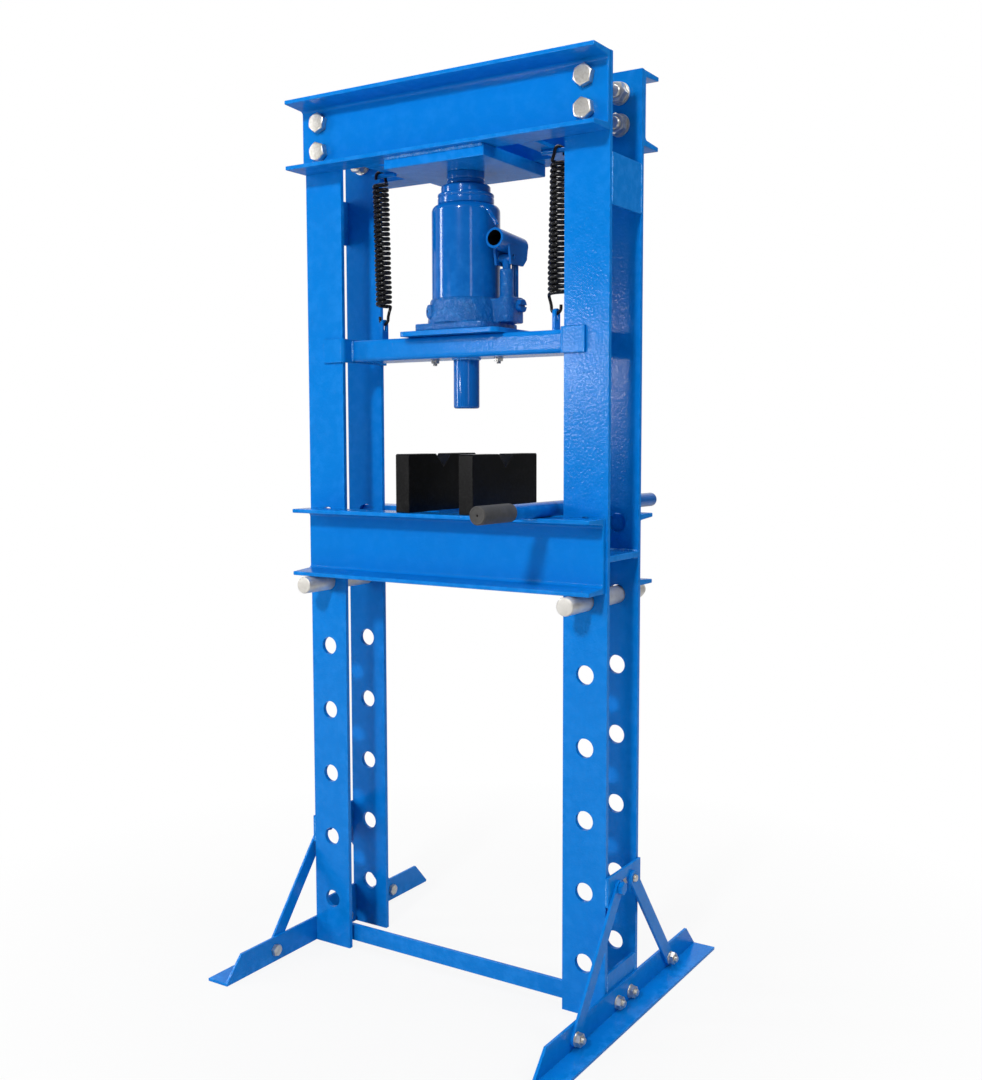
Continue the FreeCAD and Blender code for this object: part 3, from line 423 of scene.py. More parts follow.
def blend_colours(tree, share, first, second):
    node = tree.nodes.new("ShaderNodeMix")
    node.data_type = "RGBA"
    for place, value in ((0, share), (6, first), (7, second)):
        feed(tree, node.inputs[place], value)
    return node.outputs[2]


def range_node(tree, value, low, high, to_low=0.0, to_high=1.0):
    node = tree.nodes.new("ShaderNodeMapRange")
    for label, level in (("Value", value), ("From Min", low), ("From Max", high),
                         ("To Min", to_low), ("To Max", to_high)):
        feed(tree, node.inputs[label], level)
    return node.outputs["Result"]


def paint_film_effect():
    """Sprayed enamel: cloudy tone, orange peel, dust under the film, paint thin at the edges; the paler
    edges are also a painted highlight.
    """
    group, given, result = new_effect("paint_film", {
        "Paint": (0.01, 0.15, 0.6, 1), "Thin Paint": (0.05, 0.25, 0.7, 1), "Cloud Scale": 7.0,
        "Peel Scale": 260.0, "Peel Depth": 0.35, "Nib Depth": 0.8, "Edge Wear": 0.3,
        "Gloss Roughness": 0.24}, SURFACE_OUTPUTS)
    place = surface_place(group)
    cloud = noise_node(group, place, given["Cloud Scale"], 3.0, 0.55)
    fine = noise_node(group, place, 55.0, 4.0, 0.6)
    peel = noise_node(group, place, given["Peel Scale"], 1.5, 0.4)
    specks = group.nodes.new("ShaderNodeTexVoronoi")
    specks.inputs["Scale"].default_value = 95.0
    group.links.new(place, specks.inputs["Vector"])
    nib = range_node(group, specks.outputs["Distance"], 0.10, 0.03)
    chance = noise_node(group, place, 23.0, 1.0)
    nib = product(group, nib, range_node(group, chance, 0.58, 0.66))
    surface = group.nodes.new("ShaderNodeNewGeometry")
    # Sharp edges, found by pointiness, take the paler paint: partly thin, worn paint and partly painted
    # highlight.
    edge = range_node(group, surface.outputs["Pointiness"], 0.53, 0.62)
    worn_and_sheen = product(group, edge, range_node(group, fine, 0.42, 0.62))
    worn_and_sheen = product(group, worn_and_sheen, given["Edge Wear"], clamp=True)
    shade_share = product(group, range_node(group, cloud, 0.3, 0.7), 0.22)
    deeper = group.nodes.new("ShaderNodeHueSaturation")
    deeper.inputs["Value"].default_value = 0.74
    group.links.new(given["Paint"], deeper.inputs["Color"])
    colour = blend_colours(group, shade_share, given["Paint"], deeper.outputs["Color"])
    mottle = product(group, range_node(group, fine, 0.45, 0.75), 0.10)
    colour = blend_colours(group, mottle, colour, given["Thin Paint"])
    colour = blend_colours(group, worn_and_sheen, colour, given["Thin Paint"])
    rough = math_node(group, "MULTIPLY_ADD", cloud, 0.12, given["Gloss Roughness"])
    rough = math_node(group, "MULTIPLY_ADD", worn_and_sheen, 0.2, rough)
    height = product(group, peel, given["Peel Depth"])
    height = math_node(group, "MULTIPLY_ADD", nib, given["Nib Depth"], height)
    return hand_over(group, result, colour, rough, height)


def bare_metal_effect():
    """Bare or plated steel: blotches, fine grain that may be drawn out one way, and dull spots."""
    group, given, result = new_effect("bare_metal", {
        "Bright": (0.68, 0.67, 0.64, 1), "Dull": (0.42, 0.41, 0.39, 1), "Blotch Scale": 90.0,
        "Grain Scale": (900.0, 900.0, 900.0), "Grain Depth": 0.3, "Polish Roughness": 0.28,
    }, SURFACE_OUTPUTS)
    place = surface_place(group)
    blotch = noise_node(group, place, given["Blotch Scale"], 4.0, 0.6)
    stretched = multiply_vectors(group, place, given["Grain Scale"])
    grain = noise_node(group, stretched, 1.0, 2.0, 0.5)
    share = range_node(group, blotch, 0.35, 0.7)
    colour = blend_colours(group, share, given["Bright"], given["Dull"])
    rough = math_node(group, "MULTIPLY_ADD", blotch, 0.22, given["Polish Roughness"])
    rough = math_node(group, "MULTIPLY_ADD", grain, 0.12, rough)
    height = product(group, grain, given["Grain Depth"])
    return hand_over(group, result, colour, rough, height)


def sand_cast_effect():
    """Relief of a sand casting: rolling lumps and grit, and where its high spots are."""
    group, given, result = new_effect("sand_cast", {
        "Lump Scale": 95.0, "Grit Scale": 700.0, "Grit Share": 0.35}, ("Height", "High Spots"))
    place = surface_place(group)
    lumps = noise_node(group, place, given["Lump Scale"], 3.0, 0.55)
    grit = noise_node(group, place, given["Grit Scale"], 2.0, 0.5)
    height = math_node(group, "MULTIPLY_ADD", grit, given["Grit Share"], lumps)
    return hand_over(group, result, height, range_node(group, lumps, 0.52, 0.68))


def scuff_effect():
    """Thin scratches and rubbed edges that show what is under a dark finish; the lighter edges are also a
    painted highlight.
    """
    group, given, result = new_effect("scuffs", {
        "Scratch Scale": (60.0, 60.0, 900.0), "Scratch Amount": 0.4, "Edge Amount": 0.5,
    }, ("Mask",))
    place = surface_place(group)
    stretched = multiply_vectors(group, place, given["Scratch Scale"])
    lines = range_node(group, noise_node(group, stretched, 1.0, 2.0, 0.45), 0.68, 0.74)
    patches = range_node(group, noise_node(group, place, 34.0, 2.0), 0.5, 0.62)
    scratches = product(group, lines, patches)
    scratches = product(group, scratches, given["Scratch Amount"])
    surface = group.nodes.new("ShaderNodeNewGeometry")
    # Edges, found by pointiness, turn grey: partly rubbed paint and partly painted highlight.
    edge = range_node(group, surface.outputs["Pointiness"], 0.53, 0.66)
    chips = range_node(group, noise_node(group, place, 240.0, 3.0), 0.45, 0.62)
    chips_and_edge_sheen = product(group, edge, chips)
    chips_and_edge_sheen = product(group, chips_and_edge_sheen, given["Edge Amount"])
    mask = math_node(group, "MAXIMUM", scratches, chips_and_edge_sheen, clamp=True)
    return hand_over(group, result, mask)


PAINT_FILM = paint_film_effect()
BARE_METAL = bare_metal_effect()
SAND_CAST = sand_cast_effect()
SCUFFS = scuff_effect()


# ======== finishes
def new_finish(name):
    """A material with its shader, and the tree that holds it."""
    finish = bpy.data.materials.new(name)
    finish.use_nodes = True
    tree = finish.node_tree
    return finish, tree, tree.nodes["Principled BSDF"]


def set_values(node, **values):
    """Constants on a node's own sockets; underscores in their names stand for spaces."""
    for label, value in values.items():
        node.inputs[label.replace("_", " ")].default_value = value


def place_effect(tree, group, **values):
    node = tree.nodes.new("ShaderNodeGroup")
    node.node_tree = group
    set_values(node, **values)
    return node.outputs


def coat_shader(tree, shader, colour, roughness, height, distance, strength):
    """Colour, roughness and a bump whose distance is in metres, linked to a shader."""
    feed(tree, shader.inputs["Base Color"], colour)
    feed(tree, shader.inputs["Roughness"], roughness)
    bump = tree.nodes.new("ShaderNodeBump")
    set_values(bump, Distance=distance, Strength=strength)
    tree.links.new(height, bump.inputs["Height"])
    tree.links.new(bump.outputs["Normal"], shader.inputs["Normal"])


def enamel(name, paint, thin, shine, peel_depth, nib_depth, edge_wear_and_sheen, gloss, cloud=7.0):
    """Blue gloss enamel sprayed on steel."""
    finish, tree, shader = new_finish(name)
    film = place_effect(tree, PAINT_FILM, Paint=paint, Thin_Paint=thin, Cloud_Scale=cloud,
                        Peel_Depth=peel_depth, Nib_Depth=nib_depth, Edge_Wear=edge_wear_and_sheen,
                        Gloss_Roughness=gloss)
    set_values(shader, Specular_IOR_Level=shine)
    coat_shader(tree, shader, film["Color"], film["Roughness"], film["Height"], 0.0005, 0.5)
    return finish


def cast_enamel(name, paint, thin, lump_scale, depth):
    """The same enamel over a rough casting or a weld; the relief's high spots take the paler colour as a
    painted highlight.
    """
    finish, tree, shader = new_finish(name)
    film = place_effect(tree, PAINT_FILM, Paint=paint, Thin_Paint=thin, Cloud_Scale=30.0,
                        Peel_Depth=0.2, Nib_Depth=0.5, Edge_Wear=0.7, Gloss_Roughness=0.08)
    relief = place_effect(tree, SAND_CAST, Lump_Scale=lump_scale)
    # Painted highlight: the high spots of the relief are lightened with the paler colour.
    high = product(tree, relief["High Spots"], 0.35)
    colour = blend_colours(tree, high, film["Color"], thin)
    height = math_node(tree, "MULTIPLY_ADD", film["Height"], 0.2, relief["Height"])
    set_values(shader, Specular_IOR_Level=0.35)
    coat_shader(tree, shader, colour, film["Roughness"], height, depth, 0.8)
    return finish


def steel(name, bright, dull, blotch, grain, depth, polish, metallic=1.0):
    """Bare or plated steel; the grain is drawn out along the axis with the smallest scale."""
    finish, tree, shader = new_finish(name)
    metal = place_effect(tree, BARE_METAL, Bright=bright, Dull=dull, Blotch_Scale=blotch,
                         Grain_Scale=grain, Grain_Depth=depth, Polish_Roughness=polish)
    set_values(shader, Metallic=metallic)
    coat_shader(tree, shader, metal["Color"], metal["Roughness"], metal["Height"], 0.0002, 0.5)
    return finish


def black_coat(name, base, under, polish, scratch, edge, grit, coat=0.0):
    """Satin black over steel, with grey where it is scuffed and along its edges, there partly as a painted
    highlight.
    """
    finish, tree, shader = new_finish(name)
    scuffs = place_effect(tree, SCUFFS, Scratch_Amount=scratch, Edge_Amount=edge)
    relief = place_effect(tree, SAND_CAST, Lump_Scale=60.0, Grit_Scale=grit)
    colour = blend_colours(tree, scuffs["Mask"], base, under)
    rough = math_node(tree, "MULTIPLY_ADD", relief["High Spots"], 0.12, polish)
    set_values(shader, Coat_Weight=coat, Coat_Roughness=0.25, Specular_IOR_Level=0.15)
    coat_shader(tree, shader, colour, rough, relief["Height"], 0.0003, 0.4)
    return finish


def dusty_rubber():
    """Dark grey rubber with paler dust on it."""
    finish, tree, shader = new_finish("grip_rubber_skin")
    place = surface_place(tree)
    dust = noise_node(tree, place, 60.0, 4.0, 0.6)
    grain = noise_node(tree, place, 900.0, 2.0)
    colour = blend_colours(tree, range_node(tree, dust, 0.4, 0.75),
                           (0.040, 0.039, 0.038, 1), (0.062, 0.060, 0.058, 1))
    set_values(shader, Specular_IOR_Level=0.4)
    coat_shader(tree, shader, colour, 0.62, grain, 0.0003, 0.5)
    return finish


AZURE = (0.001, 0.185, 0.62, 1)
AZURE_THIN = (0.03, 0.31, 0.86, 1)
JACK_BLUE = (0.001, 0.112, 0.43, 1)
JACK_BLUE_THIN = (0.015, 0.22, 0.66, 1)
frame_enamel = enamel("frame_enamel", AZURE, AZURE_THIN, shine=0.14, peel_depth=1.3,
                      nib_depth=1.6, edge_wear_and_sheen=0.35, gloss=0.10)
jack_enamel = enamel("jack_enamel", JACK_BLUE, JACK_BLUE_THIN, shine=0.5, peel_depth=0.10,
                     nib_depth=0.3, edge_wear_and_sheen=0.3, gloss=0.06, cloud=11.0)
# The paler second colours of the casting and the welds light their high spots as a painted highlight.
casting_enamel = cast_enamel("casting_enamel", (0.001, 0.115, 0.43, 1), (0.03, 0.28, 0.74, 1),
                             lump_scale=100.0, depth=0.0046)
weld_enamel = cast_enamel("weld_enamel", (0.01, 0.24, 0.72, 1), (0.34, 0.66, 0.97, 1),
                          lump_scale=320.0, depth=0.0010)
zinc_skin = steel("zinc_skin", (0.72, 0.705, 0.67, 1), (0.50, 0.475, 0.43, 1), blotch=140.0,
                  grain=(900.0, 900.0, 900.0), depth=0.4, polish=0.17, metallic=0.9)
pin_skin = steel("pin_skin", (0.74, 0.72, 0.68, 1), (0.60, 0.575, 0.53, 1), blotch=40.0,
                 grain=(60.0, 2400.0, 60.0), depth=0.3, polish=0.28, metallic=0.6)
ground_skin = steel("ground_skin", (0.8, 0.8, 0.8, 1), (0.62, 0.62, 0.62, 1), blotch=40.0,
                    grain=(60.0, 60.0, 1500.0), depth=0.2, polish=0.08)
spring_skin = black_coat("spring_skin", (0.006, 0.006, 0.007, 1), (0.12, 0.11, 0.10, 1),
                         polish=0.24, scratch=0.10, edge=0.3, grit=900.0, coat=0.2)
block_skin = black_coat("block_skin", (0.003, 0.003, 0.0032, 1), (0.10, 0.10, 0.105, 1),
                        polish=0.30, scratch=0.10, edge=0.4, grit=300.0)
# Near-black for the inside of the lever's bore and the floor of the plug's key socket: painted shade, which
# in the bore also stands for bare steel.
painted_shade_black = black_coat("painted_shade_black", (0.004, 0.004, 0.005, 1), (0.03, 0.028, 0.026, 1),
                       polish=0.5, scratch=0.3, edge=0.2, grit=500.0)
grip_skin = dusty_rubber()


# ======== frame
def frame_plates():
    """Uprights, beams, plates, feet and braces keep their solids' shape, with softened edges."""
    for base in ("upright_front", "upright_rear", "upper_spacer", "mid_spacer", "base_plate",
                 "brace_bracket", "brace_front", "brace_rear"):
        softened_pair(base, frame_enamel, 0.9)
    softened("cross_brace", frame_enamel, 0.9)
    softened_pair("spring_hanger", frame_enamel, 0.9)
    softened_pair("foot", frame_enamel, 0.9)
    softened("top_beam_front", frame_enamel, 1.5)
    softened("top_beam_rear", frame_enamel, 1.5)
    softened("bolster_plate", frame_enamel, 1.8)


def ram_socket_piece():
    """Socket under the head: a turned ring with one groove."""
    corners = [(25.0, 1380.0), (31.5, 1380.0), (32.5, 1381.0), (32.5, 1386.2), (31.4, 1387.2),
               (31.4, 1388.4), (32.5, 1389.4), (32.5, bolster_bottom_z), (25.0, bolster_bottom_z)]

    def ring(work):
        lathe(work, softened_profile(corners, 0.7, closed=True), IN_PLACE, 72, closed=True)

    dress("ram_socket_ring", ring, jack_enamel, "frame", ("ram_socket",), 40)


def beam_bolt_places():
    """Side, front or back, number and height of each bolt that holds a beam."""
    for _, side in SIDES:
        for back in (-1, 1):
            for number, height in enumerate(beam_bolt_heights):
                yield side, back, number, height


def beam_fasteners():
    """Bolt heads outside, washers and nuts inside, threads past the nuts."""
    flats, thread = 30.0, 20.0

    def heads(work):
        for side, back, number, height in beam_bolt_places():
            seat = Vector((side * upright_x, back * (upright_outer_y + beam_web), height))
            turn = 0.35 * number + 0.5 * side + 0.2 * back
            hexagon_head(work, placing(seat, Y_AXIS * back, turn), flats, 12.5)
            tip = Vector((seat.x, back * 34.0, height))
            threaded_rod(work, placing(tip, Y_AXIS * -back), thread, 6.0, 2.5)
            tube_along(work, [Vector((seat.x, back * 34.2, height)), seat], 9.8, 24)

    def nuts(work):
        for side, back, number, height in beam_bolt_places():
            seat = Vector((side * upright_x, back * 49.0, height))
            turn = 0.6 * number + 0.3 * side - 0.4 * back
            hexagon_nut(work, placing(seat, Y_AXIS * -back, turn), flats, 16.0, thread)

    def washers(work):
        for side, back, _, height in beam_bolt_places():
            seat = Vector((side * upright_x, back * upright_inner_y, height))
            washer(work, placing(seat, Y_AXIS * -back), 37.0, 21.0, 3.0)

    for part, build in (("bolt", heads), ("nut", nuts), ("washer", washers)):
        dress("beam_" + part + "_set", build, zinc_skin, "frame", ("beam_" + part + "s",),
              THREADED_ANGLE)


# Where each foot bolt sits: y, z, x of the face under its head, x of the face under its nut, and
# whether it has a nut.
FOOT_BOLTS = (
    (-24.0, 19.0, 300.0, 311.0, True), (24.0, 19.0, 300.0, 311.0, True),
    (-175.0, 22.0, 306.0, 316.0, True), (175.0, 22.0, 306.0, 316.0, True),
    (-27.0, 215.0, 316.0, 306.0, True), (27.0, 215.0, 306.0, 316.0, False),
)


def foot_bolt_places():
    """Number, seat of the head, seat of the nut, way the thread points, and if there is a nut."""
    for _, side in SIDES:
        for number, (y, z, head_x, nut_x, has_nut) in enumerate(FOOT_BOLTS):
            outward = X_AXIS * side * (1 if nut_x > head_x else -1)
            head, nut = Vector((side * head_x, y, z)), Vector((side * nut_x, y, z))
            yield number, head, nut, outward, has_nut


def foot_fasteners():
    """Bolts and flanged nuts of the feet and braces; those of the front braces are painted over."""
    flats, thread = 19.0, 12.0

    def bolts(work):
        for number, head, nut, outward, has_nut in foot_bolt_places():
            hexagon_head(work, placing(head, outward * -1, 0.4 * number), flats, 7.5)
            tube_along(work, [head, nut], 5.9, 24)
            threaded_rod(work, placing(nut, outward), thread, 14.0 if has_nut else 4.0, 1.75, 30)

    def nuts(work):
        corners = [(6.1, 0), (11.5, 0), (11.5, 0.9), (9.6, 2.6), (6.1, 2.6)]
        flange = softened_profile(corners, 0.3, closed=True)
        for number, _, nut, outward, has_nut in foot_bolt_places():
            if has_nut:
                lathe(work, flange, placing(nut, outward), 48, closed=True)
                hexagon = placing(nut + outward * 2.0, outward, 0.5 * number)
                hexagon_nut(work, hexagon, flats, 8.0, thread)

    for part, build in (("bolt", bolts), ("nut", nuts)):
        piece = dress("foot_" + part + "_set", build, zinc_skin, "frame",
                      ("foot_" + part + "s",), THREADED_ANGLE)
        recoat(piece, frame_enamel, lambda spot: spot.z > 195 and spot.y < 0)


def frame_welds():
    """Beads where plates meet the uprights and where the bolster meets the beams."""
    def upright_bead(work, x, y, low, high, radius, seed):
        weld_bead(work, Vector((x, y, low)), Vector((x, y, high)), radius, seed)

    def level_bead(work, x_from, x_to, y, z, radius, seed):
        weld_bead(work, Vector((x_from, y, z)), Vector((x_to, y, z)), radius, seed)

    upper_spacer_run, base_plate_run = (1311.0, 1389.0), (4.0, 74.0)
    mid_spacer_top, mid_spacer_bottom = 762.4, 751.6

    def build(work):
        seed = 0.0
        for _, side in SIDES:
            face = side * upright_outer_x
            inner, outer = side * 229.0, side * 304.0
            for back in (-1, 1):
                y = back * (upright_inner_y - 0.2)
                for low, high in (upper_spacer_run, base_plate_run):
                    seed += 1.3
                    upright_bead(work, face - side * 0.9, y, low, high, 2.0, seed)
                seed += 0.7
                level_bead(work, inner, outer, y, mid_spacer_top, 2.4, seed)
                level_bead(work, inner, outer, y, mid_spacer_bottom, 2.2, seed + 2)
        for back in (-1, 1):
            seed += 1.1
            level_bead(work, -98.0, 98.0, back * 100.6, beam_bottom_z - 1.8, 3.2, seed)
        for _, side in SIDES:
            for y in (-44.4, -35.6):
                seed += 0.9
                upright_bead(work, side * 299.0, y, 12.0, 38.0, 2.0, seed)
            for back in (-1, 1):
                seed += 0.6
                upright_bead(work, side * 306.6, back * 59.0, 192.0, 238.0, 1.6, seed)

    dress("frame_weld_beads", build, weld_enamel, "frame", angle=BEAD_ANGLE)


# ======== crosshead
def crosshead_pieces():
    """Tube, guides, lugs and seat plate from their solids; nose, studs and beads made anew."""
    softened("crosshead_tube", frame_enamel, 0.7)
    for name, _ in SIDES:
        softened("guide_" + name, frame_enamel, 1.0)
        softened("spring_lug_" + name, frame_enamel, 0.7)
    softened("jack_seat_plate", frame_enamel, 1.2)

    corners = [(ON_AXIS, 1000.2), (nose_radius - 2.5, 1000.0), (nose_radius, 1002.4),
               (nose_radius, crosshead_bottom_z), (ON_AXIS, crosshead_bottom_z)]

    def nose(work):
        lathe(work, softened_profile(corners, 1.2), IN_PLACE, 72)

    dress("ram_nose_bar", nose, jack_enamel, "carriage", ("ram_nose",))

    def studs(work):
        for _, side in SIDES:
            face = Vector((side * 66.0, 0.0, crosshead_bottom_z))
            threaded_rod(work, placing(face, Z_AXIS * -1), 8.0, 10.5, 1.25, 30)
            tube_along(work, [face - Z_AXIS * 0.2, face + Z_AXIS * 55.0], 3.9, 24)
            washer(work, placing(face, Z_AXIS * -1), 16.0, 8.4, 1.2)
            nut = placing(face - Z_AXIS * 1.2, Z_AXIS * -1, 0.3 * side)
            hexagon_nut(work, nut, 13.0, 5.3, 8.0)

    dress("seat_stud_set", studs, zinc_skin, "carriage", ("seat_studs",), THREADED_ANGLE)

    def beads(work):
        steps = 110
        ring = [on_circle(nose_radius + 0.6, 2 * math.pi * step / steps, crosshead_bottom_z - 0.7)
                for step in range(steps + 1)]
        tube_along(work, ring, 2.2, 10, lambda k: 0.9 + 0.16 * abs(math.sin(k * 0.8)))
        for _, side in SIDES:
            for back in (-1, 1):
                corner = Vector((side * 219.2, back * 40.4, crosshead_bottom_z + 1.0))
                weld_bead(work, corner, corner + Z_AXIS * 36.0, 2.0, 2.0 * side + back)
            for offset in (-3.4, 3.4):
                foot = Vector((side * spring_x + offset, -9.0, crosshead_top_z + 0.3))
                weld_bead(work, foot, foot + Y_AXIS * 18.0, 1.8, 3.0 * side + offset)

    dress("crosshead_weld_beads", beads, weld_enamel, "carriage", angle=BEAD_ANGLE)


# ======== jack
def jack_casting():
    """The base is one rough casting, so its solid is resurfaced and every edge melts a little."""
    mesh = frame["nodes"]["jack_base"].data.copy()
    piece = add_piece("jack_base_casting", mesh, casting_enamel)
    remesh = piece.modifiers.new("cast_skin", "REMESH")
    remesh.mode = "VOXEL"
    remesh.voxel_size = 0.0014      # metres
    smooth = piece.modifiers.new("melted_edges", "SMOOTH")
    smooth.factor = 0.5
    smooth.iterations = 5
    settle(piece)
    piece.data.shade_smooth()
    stand_in(piece, "carriage", ("jack_base",))


def filler_plug():
    """Low screw plug on the casting's filler boss, with a small socket for a key whose floor is painted
    near-black as painted shade.
    """
    outward = on_circle(1.0, math.radians(filler_angle), 0.0)
    seat = outward * 70.0 + Z_AXIS * 1164.0
    socket = 2.4
    profile = [(ON_AXIS, 0.25), (socket, 0.25), (2.6, 0.9), (3.2, 1.3), (5.4, 1.2), (6.6, 0.4),
               (6.8, -0.9), (ON_AXIS, -0.9)]

    def build(work):
        lathe(work, profile, placing(seat, outward), 40)

    def in_socket(spot):
        across = (spot - seat).cross(outward).length
        return (spot - seat).dot(outward) > 0 and across < socket + 0.15

    plug = dress("filler_plug", build, casting_enamel, "carriage", angle=40)
    recoat(plug, painted_shade_black, in_socket)


def jack_cylinder():
    """Reservoir with a rounded shoulder, the seam at its foot and the stepped head on top."""
    outer = 59.0
    shoulder = 12.0
    shell = [(55.0, jack_base_top_z), (outer, jack_base_top_z)]
    for step in range(13):
        angle = math.pi / 2 * step / 12
        radius = outer - shoulder * (1 - math.cos(angle))
        shell.append((radius, reservoir_top_z - shoulder + shoulder * math.sin(angle)))
    shell += [(41.0, reservoir_top_z), (41.0, reservoir_top_z - 4.0),
              (46.0, reservoir_top_z - 4.0), (55.0, reservoir_top_z - 12.0)]
    seam = [(58.6, jack_base_top_z - 0.6), (61.4, jack_base_top_z - 0.4),
            (60.6, jack_base_top_z + 1.6), (59.0, jack_base_top_z + 2.4)]
    lid = [(25.1, 1346.0), (47.0, reservoir_top_z), (48.5, 1346.6), (48.5, 1355.6),
           (47.4, 1356.6), (47.4, 1358.0), (48.5, 1359.0), (48.5, 1362.4), (46.9, 1364.0),
           (42.9, 1364.2), (42.5, 1365.0), (42.5, 1375.5), (40.0, jack_nut_top_z),
           (29.0, jack_nut_top_z), (27.0, 1376.4), (25.1, 1376.4)]

    def turned(profile, count):
        return lambda work: lathe(work, profile, IN_PLACE, count, closed=True)

    dress("reservoir_shell", turned(shell, 112), jack_enamel, "carriage", ("reservoir",), 40)
    dress("reservoir_seam", turned(softened_profile(seam, 0.5, closed=True), 96),
          casting_enamel, "carriage", angle=50)
    dress("jack_lid", turned(softened_profile(lid, 0.7, closed=True), 96),
          jack_enamel, "carriage", ("jack_top_nut",), 40)


def reservoir_tab():
    """Thin strip welded aslant on the reservoir's shoulder, on the pump's side."""
    path = [Vector(spot) for spot in ((52.0, -21.5, 1338.0), (58.5, -20.5, 1331.0),
                                      (66.0, -18.5, 1319.0), (72.5, -16.0, 1305.0))]
    half_width, half_thickness = 4.0, 1.1
    wide = Vector((0.45, 0.85, 0.1)).normalized() * half_width

    def build(work):
        rings = []
        for k, point in enumerate(path):
            ahead = path[min(k + 1, len(path) - 1)] - path[max(k - 1, 0)]
            thick = ahead.normalized().cross(wide.normalized()).normalized() * half_thickness
            rings.append([point - wide - thick, point + wide - thick,
                          point + wide + thick, point - wide + thick])
        ring_stack(work, rings)

    piece = add_piece("reservoir_tab", mesh_from("reservoir_tab", build), jack_enamel)
    bevel = piece.modifiers.new("soft_edges", "BEVEL")
    bevel.width = 0.0006            # metres
    bevel.segments = 2
    piece.modifiers.new("smooth_bend", "SUBSURF").levels = 2
    settle(piece)
    piece.data.shade_smooth()
    stand_in(piece, "carriage")


def jack_moving_pieces():
    """Pump and piston from their solids; the inside of the lever's tilted bore is painted near-black, mostly
    as painted shade over its bare steel.
    """
    slope = math.radians(5.0)
    inward = Vector((0.0, math.cos(slope), -math.sin(slope)))
    mouth = Vector((82.0, -39.0, 1280.0))

    def in_bore(spot):
        depth = (spot - mouth).dot(inward)
        return depth > 1.4 and (spot - mouth).cross(inward).length < 13.05

    recoat(softened("handle_socket", jack_enamel, 1.3, 3, 40.0), painted_shade_black, in_bore)
    for node, finish, width in (
            ("pump_link", jack_enamel, 0.9), ("pump_plunger", jack_enamel, 0.6),
            ("fulcrum_pin", jack_enamel, 0.7), ("release_valve", jack_enamel, 0.9),
            ("jack_piston", ground_skin, 0.4), ("pressure_tube", jack_enamel, 0.4)):
        softened(node, finish, width, 2, 40.0)


# ======== return springs
def bridge(start, start_way, end, end_way):
    """Points between two ends of a curve that leaves and meets them along given ways."""
    steps = 12
    reach = (end - start).length * 0.42
    points = []
    for step in range(1, steps):
        t = step / steps
        point = start * (1 - t) ** 3 + (start + start_way * reach) * 3 * t * (1 - t) ** 2
        point += (end - end_way * reach) * 3 * t ** 2 * (1 - t) + end * t ** 3
        points.append(point)
    return points


def half_ring(centre, arm, rise):
    """Points from one arm of a hook over its bow to the other arm."""
    steps = 20
    angles = [math.pi * step / steps for step in range(steps + 1)]
    return [centre + arm * math.cos(angle) + rise * math.sin(angle) for angle in angles]


def spring_route(side):
    """Points down the middle of the wire: lower hook, twenty-five turns, upper loop."""
    centre_x = side * spring_x
    facing = 0.0 if side < 0 else math.pi
    turns, steps_per_turn = 25, 26
    mean_radius = 11.3
    hook_radius = 9.0
    bottom_z, top_z = 1185.4, 1399.8
    lean = side * 5.0
    hook_centre = Vector((centre_x, 0, 1153.6 + hook_radius))
    loop_centre = Vector((centre_x + lean, 0, 1422.85 - hook_radius))
    loop_angle = facing + math.radians(60.0)
    first_angle = facing + math.pi / 4
    whole_angle = 2 * math.pi * turns + loop_angle - math.pi / 4 - first_angle
    hook_arm = on_circle(1.0, facing, 0) * hook_radius
    loop_arm = on_circle(1.0, loop_angle, 0) * hook_radius
    bow = Z_AXIS * hook_radius

    def coil_point(share):
        angle = first_angle + whole_angle * share
        wander = 0.35 * math.sin(share * 19.0 + side) + lean * share
        return Vector((centre_x + wander + mean_radius * math.cos(angle),
                       mean_radius * math.sin(angle), bottom_z + (top_z - bottom_z) * share))

    count = turns * steps_per_turn
    coil = [coil_point(k / count) for k in range(count + 1)]
    hook_end, loop_end = hook_centre - hook_arm, loop_centre - loop_arm
    points = [hook_end + Z_AXIS * 5.0, hook_end + Z_AXIS * 2.0]
    points += half_ring(hook_centre, hook_arm * -1, bow * -1)
    points += bridge(hook_centre + hook_arm, Z_AXIS, coil[0], (coil[1] - coil[0]).normalized())
    points += coil
    points += bridge(coil[-1], (coil[-1] - coil[-2]).normalized(), loop_centre + loop_arm, Z_AXIS)
    points += half_ring(loop_centre, loop_arm, bow)
    return points + [loop_end - Z_AXIS * 2.0, loop_end - Z_AXIS * 5.0]


def return_springs():
    """Wire that is a little thinner in its hooks; it stretches between frame and carriage."""
    hook_points = 30
    for name, side in SIDES:
        route = spring_route(side)

        def thickness(k):
            into_coil = min(k, len(route) - 1 - k) - hook_points
            return 0.72 + 0.28 * min(1.0, max(0, into_coil) / 12)

        def build(work):
            tube_along(work, route, 3.75, 12, thickness)

        mesh = mesh_from("spring_coil_" + name, build)
        shade(mesh, BEAD_ANGLE)
        piece = add_piece("spring_coil_" + name, mesh, spring_skin)
        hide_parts("return_spring_" + name)
        x = side * 0.178
        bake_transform(piece, "frame", "carriage", start=(x, 0, 1.405), end=(x, 0, 1.180))


